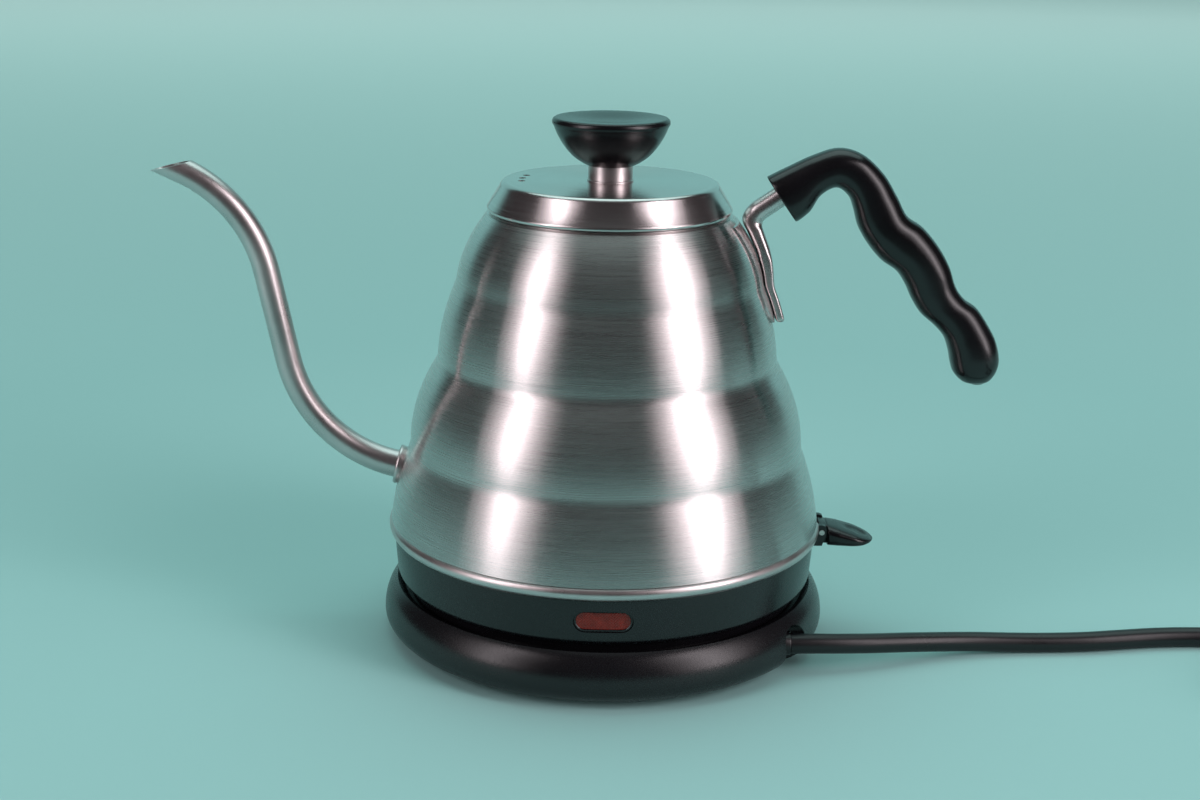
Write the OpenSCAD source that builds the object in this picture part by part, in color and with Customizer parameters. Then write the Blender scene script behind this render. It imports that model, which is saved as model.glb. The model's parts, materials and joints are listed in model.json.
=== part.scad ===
// Gooseneck kettle on a corded power base.
// The origin is on the table, on the base's axis. The spout points to -X, the handle to +X,
// and the indicator lamp faces -Y.

/* [Base] */
// Largest radius of the power base
base_r = 73.4; // [73.2:0.1:74]
// Height of the rounded rim of the base
base_h = 18.4; // [18:0.1:18.8]
// Height of the dish floor that the kettle stands on
dish_z = 16; // [15.8:0.1:16]

/* [Kettle body] */
// Radius of the steel body at its lower edge
body_r = 70.8; // [70.4:0.1:71]
// Height of the body's lower edge
body_z = 39.7; // [39.6:0.05:39.8]
// Height of the shoulder under the lid
shoulder_z = 141.4; // [141:0.1:141.5]
// Radius of the body at the shoulder
shoulder_r = 38.8; // [38.4:0.1:39]
// Radius of the filling mouth
mouth_r = 35.2; // [35:0.1:35.6]
// Thickness of the body's wall
wall = 1.2; // [0.8:0.1:1.4]

/* [Lid] */
// Radius of the lid's lower rim
lid_r = 39.3; // [39:0.1:39.6]
// Height of the lid's flat top
lid_z = 151; // [150.6:0.1:151.4]
// Radius of the knob at its widest
knob_r = 18.8; // [17:0.1:20]
// Height of the knob's top
knob_z = 171.2; // [169:0.1:173]

/* [Spout] */
// Outer radius of the spout tube
spout_r = 4.25; // [4:0.05:4.4]
// Bore radius of the spout tube
spout_bore = 3.5; // [3.2:0.05:3.6]
// How much wider the spout tube is at its root
spout_flare = 0.4; // [0:0.05:0.5]

/* [Handle] */
// Radius of the handle's steel rod
rod_r = 3.4; // [3.2:0.05:3.4]
// Thickness of the rod's flattened leg
leg_t = 3.2; // [2.8:0.1:3.2]

/* [Switch] */
// Distance of the switch pivot from the axis
pivot_x = 72.4; // [72.3:0.05:72.5]
// Height of the switch pivot
pivot_z = 35.5; // [35.4:0.05:35.6]
// Radius of the switch pin
pin_r = 0.9; // [0.8:0.05:1]

/* [Cord] */
// Diameter of the mains cord
cord_d = 6.5; // [6:0.1:6.5]

/* [Hidden] */
$fn = 96;

black = [0.10, 0.10, 0.11];
steel = [0.74, 0.74, 0.72];
gap = 0.3; // free space between parts that move apart

// Body outline: soft creases between four bulging tiers, bottom to top
crease_z = [body_z, 64.2, 93.1, 118.4, shoulder_z];
crease_r = [body_r, 64.4, 55.3, 49.3, shoulder_r];
tier_bulge = [0.95, 2.4, 1.3, 2.0];
tier_steps = 10;

// Places around the base
cord_y = -39;         // the cord leaves the base beside its front quarter
cord_exit_x = 60;
cord_exit_z = 9.4;
notch_w = 11;
screw_ring_r = 46;
post_r = 14;          // the connector's post
inlet_r = 20;         // the kettle's half of the connector

// Route of the cord's centre line from the strain relief to the coil
cord_route = [[60, -39, 9.4], [68, -38.3, 9.3], [77, -36.8, 8.8], [87, -34, 7.9],
    [98, -30, 6.7], [110, -26, 5.4], [122, -22.8, 4.3], [135, -21, 3.5],
    [148, -20, 3.25], [160, -18.8, 3.25], [172, -16.6, 3.25], [184, -14.4, 3.25],
    [195, -13.4, 3.25], [205, -13.4, 3.25], [215, -13.9, 3.25], [227, -14.4, 3.25]];
coil_x = 239;
coil_y = -56.8;
coil_outer_r = 42.05; // centre line of the outer turn
coil_inner_r = 27.65; // centre line of the inner turn
// Route of the cord from the coil's inner turn, over the others and down to the plug
tail_route = [[264, -45, 3.25], [265.8, -50.6, 4.2], [266.8, -57, 6.2], [267.6, -64, 8.6],
    [268.2, -72, 9.95], [268.8, -82, 10.1], [269, -91, 9.7], [269, -99, 7.6],
    [269, -107, 5], [269, -115, 4]];
plug_z = 4;           // the cord's height where it enters the plug
plug_y = -115;

// ---------------------------------------------------------------- functions

function arc(cx, cy, rx, ry, from, to, steps) =
    [for (i = [0 : steps]) let (a = from + (to - from) * i / steps)
        [cx + rx * cos(a), cy + ry * sin(a)]];

function tier_r(k, t) =
    crease_r[k] + (crease_r[k + 1] - crease_r[k]) * t + 4 * tier_bulge[k] * t * (1 - t);

// Outer radius of the body at height z
function body_radius(z) =
    let (k = z < crease_z[1] ? 0 : z < crease_z[2] ? 1 : z < crease_z[3] ? 2 : 3)
    tier_r(k, (z - crease_z[k]) / (crease_z[k + 1] - crease_z[k]));

// The heights that the body's outline passes through, bottom to top
outline_z = concat(
    [for (k = [0 : 3], i = [0 : tier_steps - 1])
        crease_z[k] + (crease_z[k + 1] - crease_z[k]) * i / tier_steps],
    [shoulder_z]);

function outline(offset_r) = [for (z = outline_z) [body_radius(z) + offset_r, z]];

function reversed(list) = [for (i = [len(list) - 1 : -1 : 0]) list[i]];

function unit(v) = v / norm(v);

// Catmull-Rom point between p[i] and p[i + 1]
function spline_at(p, i, t) =
    let (a = p[max(i - 1, 0)], b = p[i], c = p[i + 1], d = p[min(i + 2, len(p) - 1)])
    0.5 * (2 * b + (c - a) * t + (2 * a - 5 * b + 4 * c - d) * t * t
        + (3 * b - a - 3 * c + d) * t * t * t);

function smooth(p, steps) = concat(
    [for (i = [0 : len(p) - 2], s = [0 : steps - 1]) spline_at(p, i, s / steps)],
    [p[len(p) - 1]]);

// Faces that join rings of equal size into a closed tube
function tube_faces(rings, sides) = concat(
    [[for (j = [0 : sides - 1]) j]],
    [for (i = [0 : rings - 2], j = [0 : sides - 1])
        [i * sides + j, (i + 1) * sides + j, (i + 1) * sides + (j + 1) % sides,
            i * sides + (j + 1) % sides]],
    [[for (j = [sides - 1 : -1 : 0]) (rings - 1) * sides + j]]);

// ---------------------------------------------------------------- shared shapes

// A round tube swept along a route that stays roughly level
module cord_tube(route, d, sides = 10) {
    n = len(route);
    points = [for (i = [0 : n - 1])
        let (t = unit(route[min(i + 1, n - 1)] - route[max(i - 1, 0)]),
            side = unit(cross([0, 0, 1], t)),
            up = cross(t, side))
        for (j = [0 : sides - 1]) let (a = 360 * j / sides)
            route[i] + d / 2 * (cos(a) * side + sin(a) * up)];
    polyhedron(points, tube_faces(n, sides), convexity = 6);
}

// Pan-head screw pointing up, its head's underside at z = 0
module screw(shank_r, shank_l, head_r, head_h) {
    cylinder(r = shank_r, h = shank_l);
    difference() {
        translate([0, 0, -head_h]) cylinder(r = head_r, h = head_h);
        for (a = [0, 90]) rotate(a)
            translate([-head_r * 0.6, -0.3, -head_h - 0.1]) cube([head_r * 1.2, 0.6, head_h / 2]);
    }
}

module along_x_z(p, heading) {
    translate([p[0], 0, p[1]]) rotate([0, -heading, 0]) children();
}

function ahead(p, heading, l) = p + l * [cos(heading), sin(heading)];

// The point that a bend from p reaches after angle; side is 1 for a left turn and -1 for a right turn
function bend_end(p, heading, bend_r, angle, side) =
    p + side * bend_r * [-sin(heading), cos(heading)]
        - side * bend_r * [-sin(heading + side * angle), cos(heading + side * angle)];

// The spout's centre line in the X-Z plane: out square to the wall, up, a long rise, out again
spout_heading = 167;
spout_start = [-62, 53.4];
spout_root_l = 8;
spout_bend_r = 46;
spout_low_turn = 65;
spout_rise_l = 30;
spout_top_turn = 54;
spout_end_l = 20;
spout_p1 = ahead(spout_start, spout_heading, spout_root_l);
spout_p2 = bend_end(spout_p1, spout_heading, spout_bend_r, spout_low_turn, -1);
spout_h2 = spout_heading - spout_low_turn;
spout_p3 = ahead(spout_p2, spout_h2, spout_rise_l);
spout_p4 = bend_end(spout_p3, spout_h2, spout_bend_r, spout_top_turn, 1);
spout_h4 = spout_h2 + spout_top_turn;
bend_steps = 12;

// Stations of the spout: x, z and heading
spout_line = concat(
    [[spout_start, spout_heading]],
    [for (i = [0 : bend_steps]) let (a = spout_low_turn * i / bend_steps)
        [bend_end(spout_p1, spout_heading, spout_bend_r, a, -1), spout_heading - a]],
    [[ahead(spout_p2, spout_h2, spout_rise_l / 2), spout_h2]],
    [for (i = [0 : bend_steps]) let (a = spout_top_turn * i / bend_steps)
        [bend_end(spout_p3, spout_h2, spout_bend_r, a, 1), spout_h2 + a]],
    [[ahead(spout_p4, spout_h4, spout_end_l), spout_h4]]);

// Solid bar along the spout, wider by flare at the root
module spout_bar(r, sides = 24) {
    n = len(spout_line);
    points = [for (i = [0 : n - 1])
        let (p = spout_line[i][0], h = spout_line[i][1],
            size = r + spout_flare * pow(max(0, 1 - i / (bend_steps + 1)), 2))
        for (j = [0 : sides - 1]) let (a = 360 * j / sides)
            [p[0] - size * cos(a) * sin(h), -size * sin(a), p[1] + size * cos(a) * cos(h)]];
    polyhedron(points, tube_faces(n, sides), convexity = 6);
}

// ---------------------------------------------------------------- power base

rim_c = [64.5, 8];          // centre of the rim's rounded section
rim_rx = base_r - rim_c[0];
rim_up = 12.2;              // how steeply the rim rounds over at the top
rim_down = 6.8;
skin = 2.2;                 // wall thickness of the mouldings

module base_section() {
    top_a = asin((base_h - rim_c[1]) / rim_up);
    lip_x = rim_c[0] + rim_rx * cos(top_a);
    polygon(concat(
        arc(rim_c[0], rim_c[1], rim_rx, rim_down, -80, 0, 7),
        arc(rim_c[0], rim_c[1], rim_rx, rim_up, 9, top_a, 6),
        [[lip_x - 1, base_h + 0.2], [67.4, dish_z + 0.8], [66.4, dish_z], [21.4, dish_z],
            [21.4, dish_z + 2], [16, dish_z + 2], [16, dish_z - skin],
            [64.2, dish_z - skin], [66.4, dish_z - skin - 0.6]],
        reversed(arc(rim_c[0], rim_c[1], rim_rx - skin, rim_down - skin, -70, 30, 8)),
        [[64, 1.4]]));
}

module base_cover() color(black) {
    difference() {
        union() {
            rotate_extrude() base_section();
            for (a = [90, 210, 330]) rotate(a) translate([screw_ring_r, 0, 3.8])
                cylinder(r = 4, h = dish_z - skin - 3.7);
            for (x = [40, 52]) translate([x, cord_y + 9, 7.6])
                cylinder(r = 2.6, h = dish_z - skin - 7.5);
        }
        for (a = [90, 210, 330]) rotate(a) translate([screw_ring_r, 0, 3])
            cylinder(r = 1.45, h = 8);
        for (x = [40, 52]) translate([x, cord_y + 9, 7]) cylinder(r = 1.05, h = 5);
        translate([55, cord_y, 0]) cord_notch();
        translate([50, cord_y, cord_exit_z]) rotate([0, 90, 0]) cylinder(r = 4.35, h = 6);
    }
}

// Arched slot that lets the cord out of the rim
module cord_notch() {
    translate([0, -notch_w / 2, -1]) cube([24, notch_w, 11]);
    translate([0, 0, 10]) rotate([0, 90, 0]) cylinder(r = notch_w / 2, h = 24);
}

module base_bottom() color(black) {
    difference() {
        cylinder(r = 63.6, h = 3.6);
        translate([0, 0, -1]) cylinder(r = 63.7, h = 2.5);
        translate([0, 0, 2.8]) difference() {
            cylinder(r = 61.5, h = 2);
            translate([0, 0, -1]) cylinder(r = 24, h = 4);
        }
        for (a = [90, 210, 330]) rotate(a) translate([screw_ring_r, 0, 0]) {
            cylinder(r = 1.7, h = 5);
            cylinder(r = 3, h = 1.9);
        }
    }
}

module foot_ring() color([0.16, 0.16, 0.16]) {
    rotate_extrude() polygon([[54.4, 0], [59.6, 0], [60, 0.4], [60, 1.5], [54, 1.5], [54, 0.4]]);
}

module base_screws() color(steel) {
    for (a = [90, 210, 330]) rotate(a) translate([screw_ring_r, 0, 1.9])
        screw(1.4, 8, 2.7, 0.9);
}

module base_connector() color(black) {
    rotate_extrude() polygon([[3.2, dish_z + 11], [3.2, dish_z - 6], [20.8, dish_z - 6],
        [20.8, dish_z - skin - 0.1], [15.9, dish_z - skin - 0.1], [15.9, dish_z + 1.4],
        [post_r, dish_z + 1.8], [post_r, dish_z + 10], [post_r - 1, dish_z + 11],
        [10, dish_z + 11], [10, dish_z + 2], [7, dish_z + 2], [7, dish_z + 11]]);
}

module base_contacts() color([0.80, 0.62, 0.30]) {
    rotate_extrude() polygon([[9.4, dish_z + 2], [10, dish_z + 2], [10, dish_z + 9], [9.4, dish_z + 9]]);
    rotate_extrude() polygon([[2.7, dish_z - 6], [3.2, dish_z - 6], [3.2, dish_z + 9], [2.7, dish_z + 9]]);
}

module base_leads() color([0.30, 0.24, 0.16]) {
    lead_r = 1.05;
    for (i = [-1, 0, 1]) {
        from = [33.4, cord_y, cord_exit_z + 2.4 * i];
        to = [14.5 + 2.1 * i, -12.5 + 1.3 * i, 8.9];
        along = to - from;
        translate(from) rotate([0, acos(along[2] / norm(along)), atan2(along[1], along[0])])
            cylinder(r = lead_r, h = norm(along));
    }
}

module cord_clamp() color([0.20, 0.20, 0.21]) {
    difference() {
        union() {
            translate([0, cord_y, 4]) linear_extrude(2.4) polygon([[36.6, -7], [45, -7],
                [51, -1], [55.6, 3.4], [55.6, 12], [36.6, 12]]);
            translate([38, cord_y + 6.2, 4]) cube([16, 5.6, 3.5]);
        }
        for (x = [40, 52]) translate([x, cord_y + 9, 3]) cylinder(r = 1.2, h = 6);
        translate([30, cord_y, cord_exit_z]) rotate([0, 90, 0]) cylinder(r = 4.65, h = 40);
    }
}

module clamp_screws() color(steel) {
    for (x = [40, 52]) translate([x, cord_y + 9, 3.95])
        screw(1, 7, 1.9, 0.25);
}

module cord_relief() color(black) {
    tail_x = 34;
    translate([tail_x, cord_y, cord_exit_z]) rotate([0, 90, 0]) rotate_extrude()
        polygon([[0, 0], [4.3, 0], [4.3, 5], [3.7, 5.4], [3.7, 7], [4.2, 7.4], [4.1, 11],
            [3.6, 11.4], [3.6, 13], [4, 13.4], [3.9, 17], [3.5, 17.4], [3.5, 19],
            [3.8, 19.4], [3.6, cord_exit_x - tail_x], [0, cord_exit_x - tail_x]]);
}

module mains_cord() color(black) {
    cord_tube(smooth(cord_route, 2), cord_d);
}

module cord_coil() color(black) {
    translate([coil_x, coil_y, 0]) rotate_extrude()
        translate([coil_inner_r - cord_d / 2, 0])
            square([coil_outer_r - coil_inner_r + cord_d, cord_d]);
}

module cord_tail() color(black) {
    cord_tube(smooth(tail_route, 2), cord_d);
}

module cord_tie() color([0.18, 0.18, 0.19]) {
    tie_w = 6;
    tie_t = 0.8;
    l = coil_outer_r - coil_inner_r + cord_d;
    translate([coil_x - tie_w / 2, coil_y - coil_outer_r - cord_d / 2, 0]) difference() {
        translate([0, -tie_t, 0]) cube([tie_w, l + 2 * tie_t, cord_d + tie_t]);
        translate([-1, 0, tie_t]) cube([tie_w + 2, l, cord_d - tie_t]);
    }
}

plug_x = tail_route[len(tail_route) - 1][0];
plug_mid_z = 12.4;

module plug_relief() color(black) {
    translate([plug_x, plug_y, plug_z]) rotate([90, 0, 0]) rotate_extrude()
        polygon([[0, 0], [3.5, 0], [3.9, 24], [0, 24]]);
}

module plug_body() color(black) {
    front = plug_y - 24;
    intersection() {
        translate([plug_x, front - 30, 0]) linear_extrude(24.8) polygon([[-12, 0], [12, 0],
            [12.6, 6], [12, 18], [8, 27], [5.5, 30], [-5.5, 30], [-8, 27], [-12, 18], [-12.6, 6]]);
        translate([plug_x + 20, front - 30, 0]) rotate([90, 0, -90]) linear_extrude(40)
            polygon([[0, 0], [-30, 0], [-30, 7.6], [-24, 14], [-18, 22],
                [-2, 24.4], [0, 23.8]]);
    }
}

module plug_pins() color([0.78, 0.66, 0.38]) {
    face = plug_y - 54;
    for (x = [-6.35, 6.35])
        translate([plug_x + x - 0.75, face - 16, plug_mid_z + 1.4]) cube([1.5, 16, 6.3]);
    translate([plug_x, face, plug_mid_z - 5.6]) rotate([90, 0, 0]) cylinder(r = 2.4, h = 18);
}

// ---------------------------------------------------------------- kettle's underside

module kettle_inlet() color([0.14, 0.14, 0.15]) {
    z = dish_z + 2 + gap;
    top = z + 12.6;
    rotate_extrude() polygon([[post_r + 0.4, z], [inlet_r, z], [inlet_r, top],
        [0, top], [0, z + 9.6], [post_r + 0.4, z + 9.6]]);
}

module inlet_contacts() color([0.80, 0.62, 0.30]) {
    top = dish_z + 2 + gap + 9.6;
    translate([0, 0, dish_z + 4]) cylinder(r = 2.2, h = top - dish_z - 4);
    rotate_extrude() polygon([[8, dish_z + 4], [8.8, dish_z + 4], [8.8, top], [8, top]]);
}

casing_top = 35.4;
casing_foot = dish_z + gap;
lens_z = 28.4;
lens_w = 17.3;
lens_h = 6;

module lens_shape(grow) {
    r = lens_h / 2 + grow;
    w = lens_w / 2 - lens_h / 2;
    rotate([90, 0, 0]) {
        for (x = [-w, w]) translate([x, 0, 0]) cylinder(r = r, h = 20);
        translate([-w, -r, 0]) cube([2 * w, 2 * r, 20]);
    }
}

module bottom_casing() color(black) {
    difference() {
        union() {
            rotate_extrude() polygon([[69.9, casing_top], [69.5, 29], [68.9, 21.8], [68.3, 20.6],
                [66.8, 20.1], [65.2, 20], [64.8, casing_foot], [62.2, casing_foot],
                [61.8, 18.6], [inlet_r + 0.5, 18.6], [inlet_r + 0.5, 20.8], [62, 20.8],
                [65.4, 22.4], [66.6, 24], [67.4, casing_top]]);
            for (a = [60, 180, 300]) rotate(a) translate([54, 0, 20.7]) cylinder(r = 3.6, h = 12);
        }
        for (a = [60, 180, 300]) rotate(a) translate([54, 0, 20]) cylinder(r = 1.45, h = 14);
        for (a = [60, 180, 300]) rotate(a) translate([54, 0, 18]) cylinder(r = 1.7, h = 2.9);
        translate([0, -58, lens_z]) lens_shape(0.5);
        translate([60, -neck_w / 2 - gap, 29]) cube([12, neck_w + 2 * gap, 7]);
        for (y = [-peg_y, peg_y]) translate([60, y, peg_z]) rotate([0, 90, 0])
            cylinder(r = peg_r + 0.05, h = 12);
    }
}

module casing_screws() color(steel) {
    for (a = [60, 180, 300]) rotate(a) translate([54, 0, 18.55]) screw(1.4, 11, 2.8, 0.9);
}

module trim_ring() color(steel) {
    difference() {
        rotate_extrude() polygon(concat([[69.1, 35.5]],
            arc(69.9, 37.55, 1.7, 2.05, -90, 90, 12), [[69.1, 39.6]]));
        translate([66, -notch_half, 35]) cube([8, 2 * notch_half, 6]);
    }
}

module heater_plate() color(steel) {
    cylinder(r = 68.9, h = 1.2);
}

module heater_seal() color([0.72, 0.72, 0.70]) {
    rotate_extrude() polygon([[64.6, 0], [68.9, 0], [68.9, 1.4], [64.6, 1.4]]);
}

element_r = 38;
element_z = 31.75;
module heating_element() color([0.55, 0.55, 0.53]) {
    rotate([0, 0, 20]) rotate_extrude(angle = 320)
        translate([element_r, element_z]) circle(r = 3.2);
    for (a = [20, 340]) rotate(a) translate([element_r, 0, 0]) {
        side = a > 180 ? 1 : -1;
        translate([0, side * 3, 25]) cylinder(r = 1.6, h = 6.9);
        translate([0, side * 3, element_z]) rotate([side * 90, 0, 0])
            cylinder(r = 2.9, h = 3.02);
    }
}

module heat_spreader() color([0.80, 0.80, 0.80]) {
    difference() {
        cylinder(r = 50, h = 2);
        for (a = [60, 180, 300]) rotate(a) translate([54, 0, -1]) cylinder(r = 6, h = 4);
    }
}

module control_unit() color([0.88, 0.86, 0.80]) {
    difference() {
        union() {
            rotate_extrude() polygon([[0, 0], [22, 0], [22, 2], [17, 3.6], [0, 3.6]]);
            translate([14, -7, 0]) cube([44, 14, 2.4]);
        }
        translate([0, 0, 2.6]) cylinder(r = 11, h = 2);
    }
}

module bimetal_disc() color([0.80, 0.68, 0.45]) {
    rotate_extrude() polygon([[0, 0.5], [6, 0.3], [10.6, 0], [10.6, 0.3], [6, 0.6], [0, 0.8]]);
}

module lens_frame() color(black) {
    difference() {
        intersection() {
            translate([0, -58, lens_z]) lens_shape(0.45);
            rotate_extrude() translate([66.2, 20]) square([2.6, 16]);
        }
        translate([0, -58, lens_z]) lens_shape(-0.3);
    }
}

module indicator_lens() color([0.42, 0.13, 0.09]) {
    intersection() {
        translate([0, -58, lens_z]) lens_shape(-0.35);
        rotate_extrude() translate([66, 20]) square([2.6, 16]);
    }
}

module indicator_lamp() color([0.92, 0.60, 0.40]) {
    translate([-6, -62.4, lens_z]) rotate([0, 90, 0]) cylinder(r = 2.2, h = 12);
}

// ---------------------------------------------------------------- kettle body

module kettle_shell() color(steel) {
    mouth_z = shoulder_z - wall;
    difference() {
        rotate_extrude() polygon(concat(
            [[64.6, body_z - 0.1], [body_r - 0.4, body_z - 0.1]], outline(0),
            [[mouth_r, shoulder_z], [mouth_r, shoulder_z - 5], [mouth_r + wall, shoulder_z - 5],
                [mouth_r + wall, mouth_z]],
            reversed([for (z = outline_z) if (z < mouth_z - 0.5 && z > body_z + wall)
                [body_radius(z) - wall, z]]),
            [[64.6, body_z + wall]]));
        along_x_z(spout_start, spout_heading) rotate([0, 90, 0])
            cylinder(r = spout_r + spout_flare + 0.04, h = 16);
    }
}

module spout() color(steel) {
    difference() {
        spout_bar(spout_r);
        spout_bar(spout_bore);
        // The root is trimmed to the inside of the body
        rotate_extrude() polygon([[0, 40], [body_radius(42) - wall, 42],
            [body_radius(54) - wall, 54], [body_radius(63) - wall, 63], [0, 64]]);
        // The tip is cut on a long slant
        translate([-146.6, 0, 151.9]) rotate([0, -14.3, 0])
            translate([-30, -20, 0]) cube([70, 40, 30]);
    }
}

collar_r = 6.5;
module spout_collar() color(steel) {
    root_r = spout_r + spout_flare + 0.04;
    difference() {
        along_x_z(ahead(spout_start, spout_heading, 3), spout_heading) rotate([0, 90, 0])
            rotate_extrude() polygon([[root_r, 0], [collar_r, 0], [collar_r, 4.1],
                [collar_r - 0.5, 4.6], [root_r, 4.6]]);
        rotate_extrude() polygon(concat([[0, body_z]],
            [for (z = outline_z) if (z < 66) [body_radius(z) + 0.06, z]], [[0, 66]]));
    }
}

// ---------------------------------------------------------------- switch

neck_w = 8.4;               // the lever's neck, between the bracket's cheeks
cheek_t = 2;
peg_r = 0.7;
peg_y = neck_w / 2 + gap + 1.2;
peg_z = 32.2;
notch_half = neck_w / 2 + gap + cheek_t + gap;   // half of the gap in the trim ring
paddle_x = 74.5;            // where the paddle starts, outside the cheeks
paddle_tip = 90.2;
paddle_half_w = 8;

module switch_bracket() color(black) {
    for (y = [neck_w / 2 + gap, -neck_w / 2 - gap - cheek_t]) difference() {
        translate([0, y, 0]) rotate([90, 0, 0]) mirror([0, 0, 1]) linear_extrude(cheek_t)
            polygon([[69.2, 30.8], [72.6, 30.8], [73.2, 32.4], [73.8, 34.6], [74, 36.4],
                [73.6, 37.6], [72.6, 38], [71, 38], [70.2, 37.2], [70.2, 35.4], [69.2, 35.3]]);
        translate([pivot_x, 0, pivot_z]) rotate([90, 0, 0])
            cylinder(r = pin_r + 0.03, h = 30, center = true);
        rotate_extrude() translate([60, 20]) square([9.95, 16]);
    }
    for (y = [-peg_y, peg_y]) translate([67, y, peg_z]) rotate([0, 90, 0])
        cylinder(r = peg_r, h = 3.4);
}

module switch_pin() color(steel) {
    l = neck_w + 2 * (gap + cheek_t + 0.3);
    translate([pivot_x, l / 2, pivot_z]) rotate([90, 0, 0]) cylinder(r = pin_r, h = l);
}

module switch_lever() color(black) {
    nose_x = paddle_tip - 7.4;
    difference() {
        union() {
            // Paddle: its side view cut by its plan
            intersection() {
                translate([0, 12, 0]) rotate([90, 0, 0]) linear_extrude(24) polygon(concat(
                    [[paddle_x, 30.4], [82, 30.5], [86, 30.7]],
                    arc(88.4, 31.8, 1.8, 1, -70, 60, 5),
                    [[86.4, 33.5], [81.2, 35.3], [78, 36.4], [paddle_x, 37.3]]));
                translate([0, 0, 20]) linear_extrude(30) polygon(concat(
                    [[70, 7], [paddle_x, 7], [78, 7.9]],
                    reversed(arc(nose_x, 0, 7.4, paddle_half_w, -84, 84, 14)),
                    [[78, -7.9], [paddle_x, -7], [70, -7]]));
            }
            translate([0, neck_w / 2, 0]) rotate([90, 0, 0]) linear_extrude(neck_w)
                polygon([[62, 31], [paddle_x + 1, 31], [paddle_x + 1, 36.9], [72, 37.6],
                    [70.6, 36.8], [70.2, 34], [62, 33.4]]);
        }
        translate([pivot_x, 0, pivot_z]) rotate([90, 0, 0])
            cylinder(r = pin_r + 0.06, h = 30, center = true);
        // Shallow finger recess on the top face
        translate([83.4, 0, 36.2]) rotate([0, 20, 0]) cylinder(r = 3, h = 2.4, center = true);
    }
}

// ---------------------------------------------------------------- handle

plate_low = 107;
plate_high = 139;
plate_half_w = 13;
plate_t = 0.8;

module handle_plate() color(steel) {
    z = concat([plate_low], [for (z = outline_z) if (z > plate_low + 0.5 && z < plate_high - 0.5) z],
        [plate_high]);
    intersection() {
        rotate(-25) rotate_extrude(angle = 50) polygon(concat(
            [for (h = z) [body_radius(h), h]],
            reversed([for (h = z) [body_radius(h) + plate_t, h]])));
        translate([30, 0, 0]) rotate([90, 0, 90]) linear_extrude(40) plate_outline();
    }
}

module plate_outline() {
    r = 7;
    w = plate_half_w;
    union() {
        translate([-w + r, plate_low]) square([2 * (w - r), 20]);
        translate([-w, plate_low + r]) square([2 * w, plate_high - plate_low - r]);
        for (x = [-w + r, w - r]) translate([x, plate_low + r]) circle(r = r);
    }
}

// The rod comes out of the grip, turns down and lies along the plate as a flat leg
rod_heading = 215;
rod_start = [67.4, 156];
rod_straight_l = 23.5;
rod_bend_r = 6;
rod_turn = 75;
rod_steps = 8;
rod_sides = 20;
leg_w = 9;
leg_low = 106.5;
leg_high = 130.5;
leg_swell = 0.9;            // how much deeper the leg is on each side at its top
leg_swell_low = 116;        // height where the leg has thinned out
leg_square = 0.35;          // power that squares the leg's section; 1 is round
rod_p1 = ahead(rod_start, rod_heading, rod_straight_l);

leg_heights = concat([leg_high],
    reversed([for (z = outline_z) if (z > leg_low + 1.5 && z < leg_high - 1) z]),
    [leg_low + 1.2, leg_low]);

// Stations of the rod: x, z, heading, half depth, half width and power of the section
rod_line = concat(
    [[rod_start[0], rod_start[1], rod_heading, rod_r, rod_r, 1]],
    [for (i = [0 : rod_steps])
        let (h = rod_heading + rod_turn * i / rod_steps,
            t = max(0, 2 * i / rod_steps - 1),
            depth = rod_r - 0.9 * t,
            p = bend_end(rod_p1, rod_heading, rod_bend_r, h - rod_heading, 1)
                + (rod_r - depth) * [-sin(h), cos(h)])
        [p[0], p[1], h, depth, rod_r + 0.6 * t, 1 - 0.3 * t]],
    [for (z = leg_heights)
        let (swell = leg_swell * pow(max(0, (z - leg_swell_low) / (leg_high - leg_swell_low)), 1.5),
            depth = z > leg_low ? leg_t / 2 + swell : leg_t / 2 - 0.6)
        [body_radius(z) + plate_t + 0.02 + depth, z, 270, depth, leg_w / 2, leg_square]]);

function squared(c, power) = sign(c) * pow(abs(c), power);

module handle_rod() color(steel) {
    points = [for (s = rod_line, j = [0 : rod_sides - 1])
        let (a = 360 * j / rod_sides, out = s[3] * squared(cos(a), s[5]))
        [s[0] - out * sin(s[2]), -s[4] * squared(sin(a), s[5]), s[1] + out * cos(s[2])]];
    polyhedron(points, tube_faces(len(rod_line), rod_sides), convexity = 6);
}

// Cross-sections of the wavy grip: upper edge x, z, lower edge x, z, half width
grip_ribs = [[49.9, 152.9, 59.2, 139.6, 6.8], [51, 153.6, 60.2, 139.2, 7.2],
    [57, 156.7, 64, 142.4, 7], [64, 160.1, 67.2, 147.6, 6.6], [72.3, 162.7, 72, 150.2, 6.6],
    [80, 160.8, 76, 147.6, 6.8], [87, 154.7, 77.8, 143.6, 7.2], [91.6, 147.6, 79.6, 137.8, 7.6],
    [95.2, 141.4, 83, 132.2, 8], [100.6, 137.6, 87.4, 127.2, 8], [106, 131.4, 92.6, 123.6, 7.8],
    [109.8, 125, 95.8, 119.2, 7.5], [112.2, 118.6, 98.2, 114.4, 7.2],
    [115.4, 114.4, 101.4, 109.7, 7], [119.6, 111.4, 106, 105.8, 7.2],
    [123.4, 106.2, 109.4, 102, 7.6], [126.4, 100.8, 111.2, 97.6, 8],
    [127.9, 95, 112.2, 93.4, 8], [127.4, 91, 113.4, 90, 7.2], [125.8, 88, 116.2, 87.2, 5],
    [124, 86.6, 119, 86.4, 2.6]];
grip_sides = 20;
grip_square = 0.86;

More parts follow.
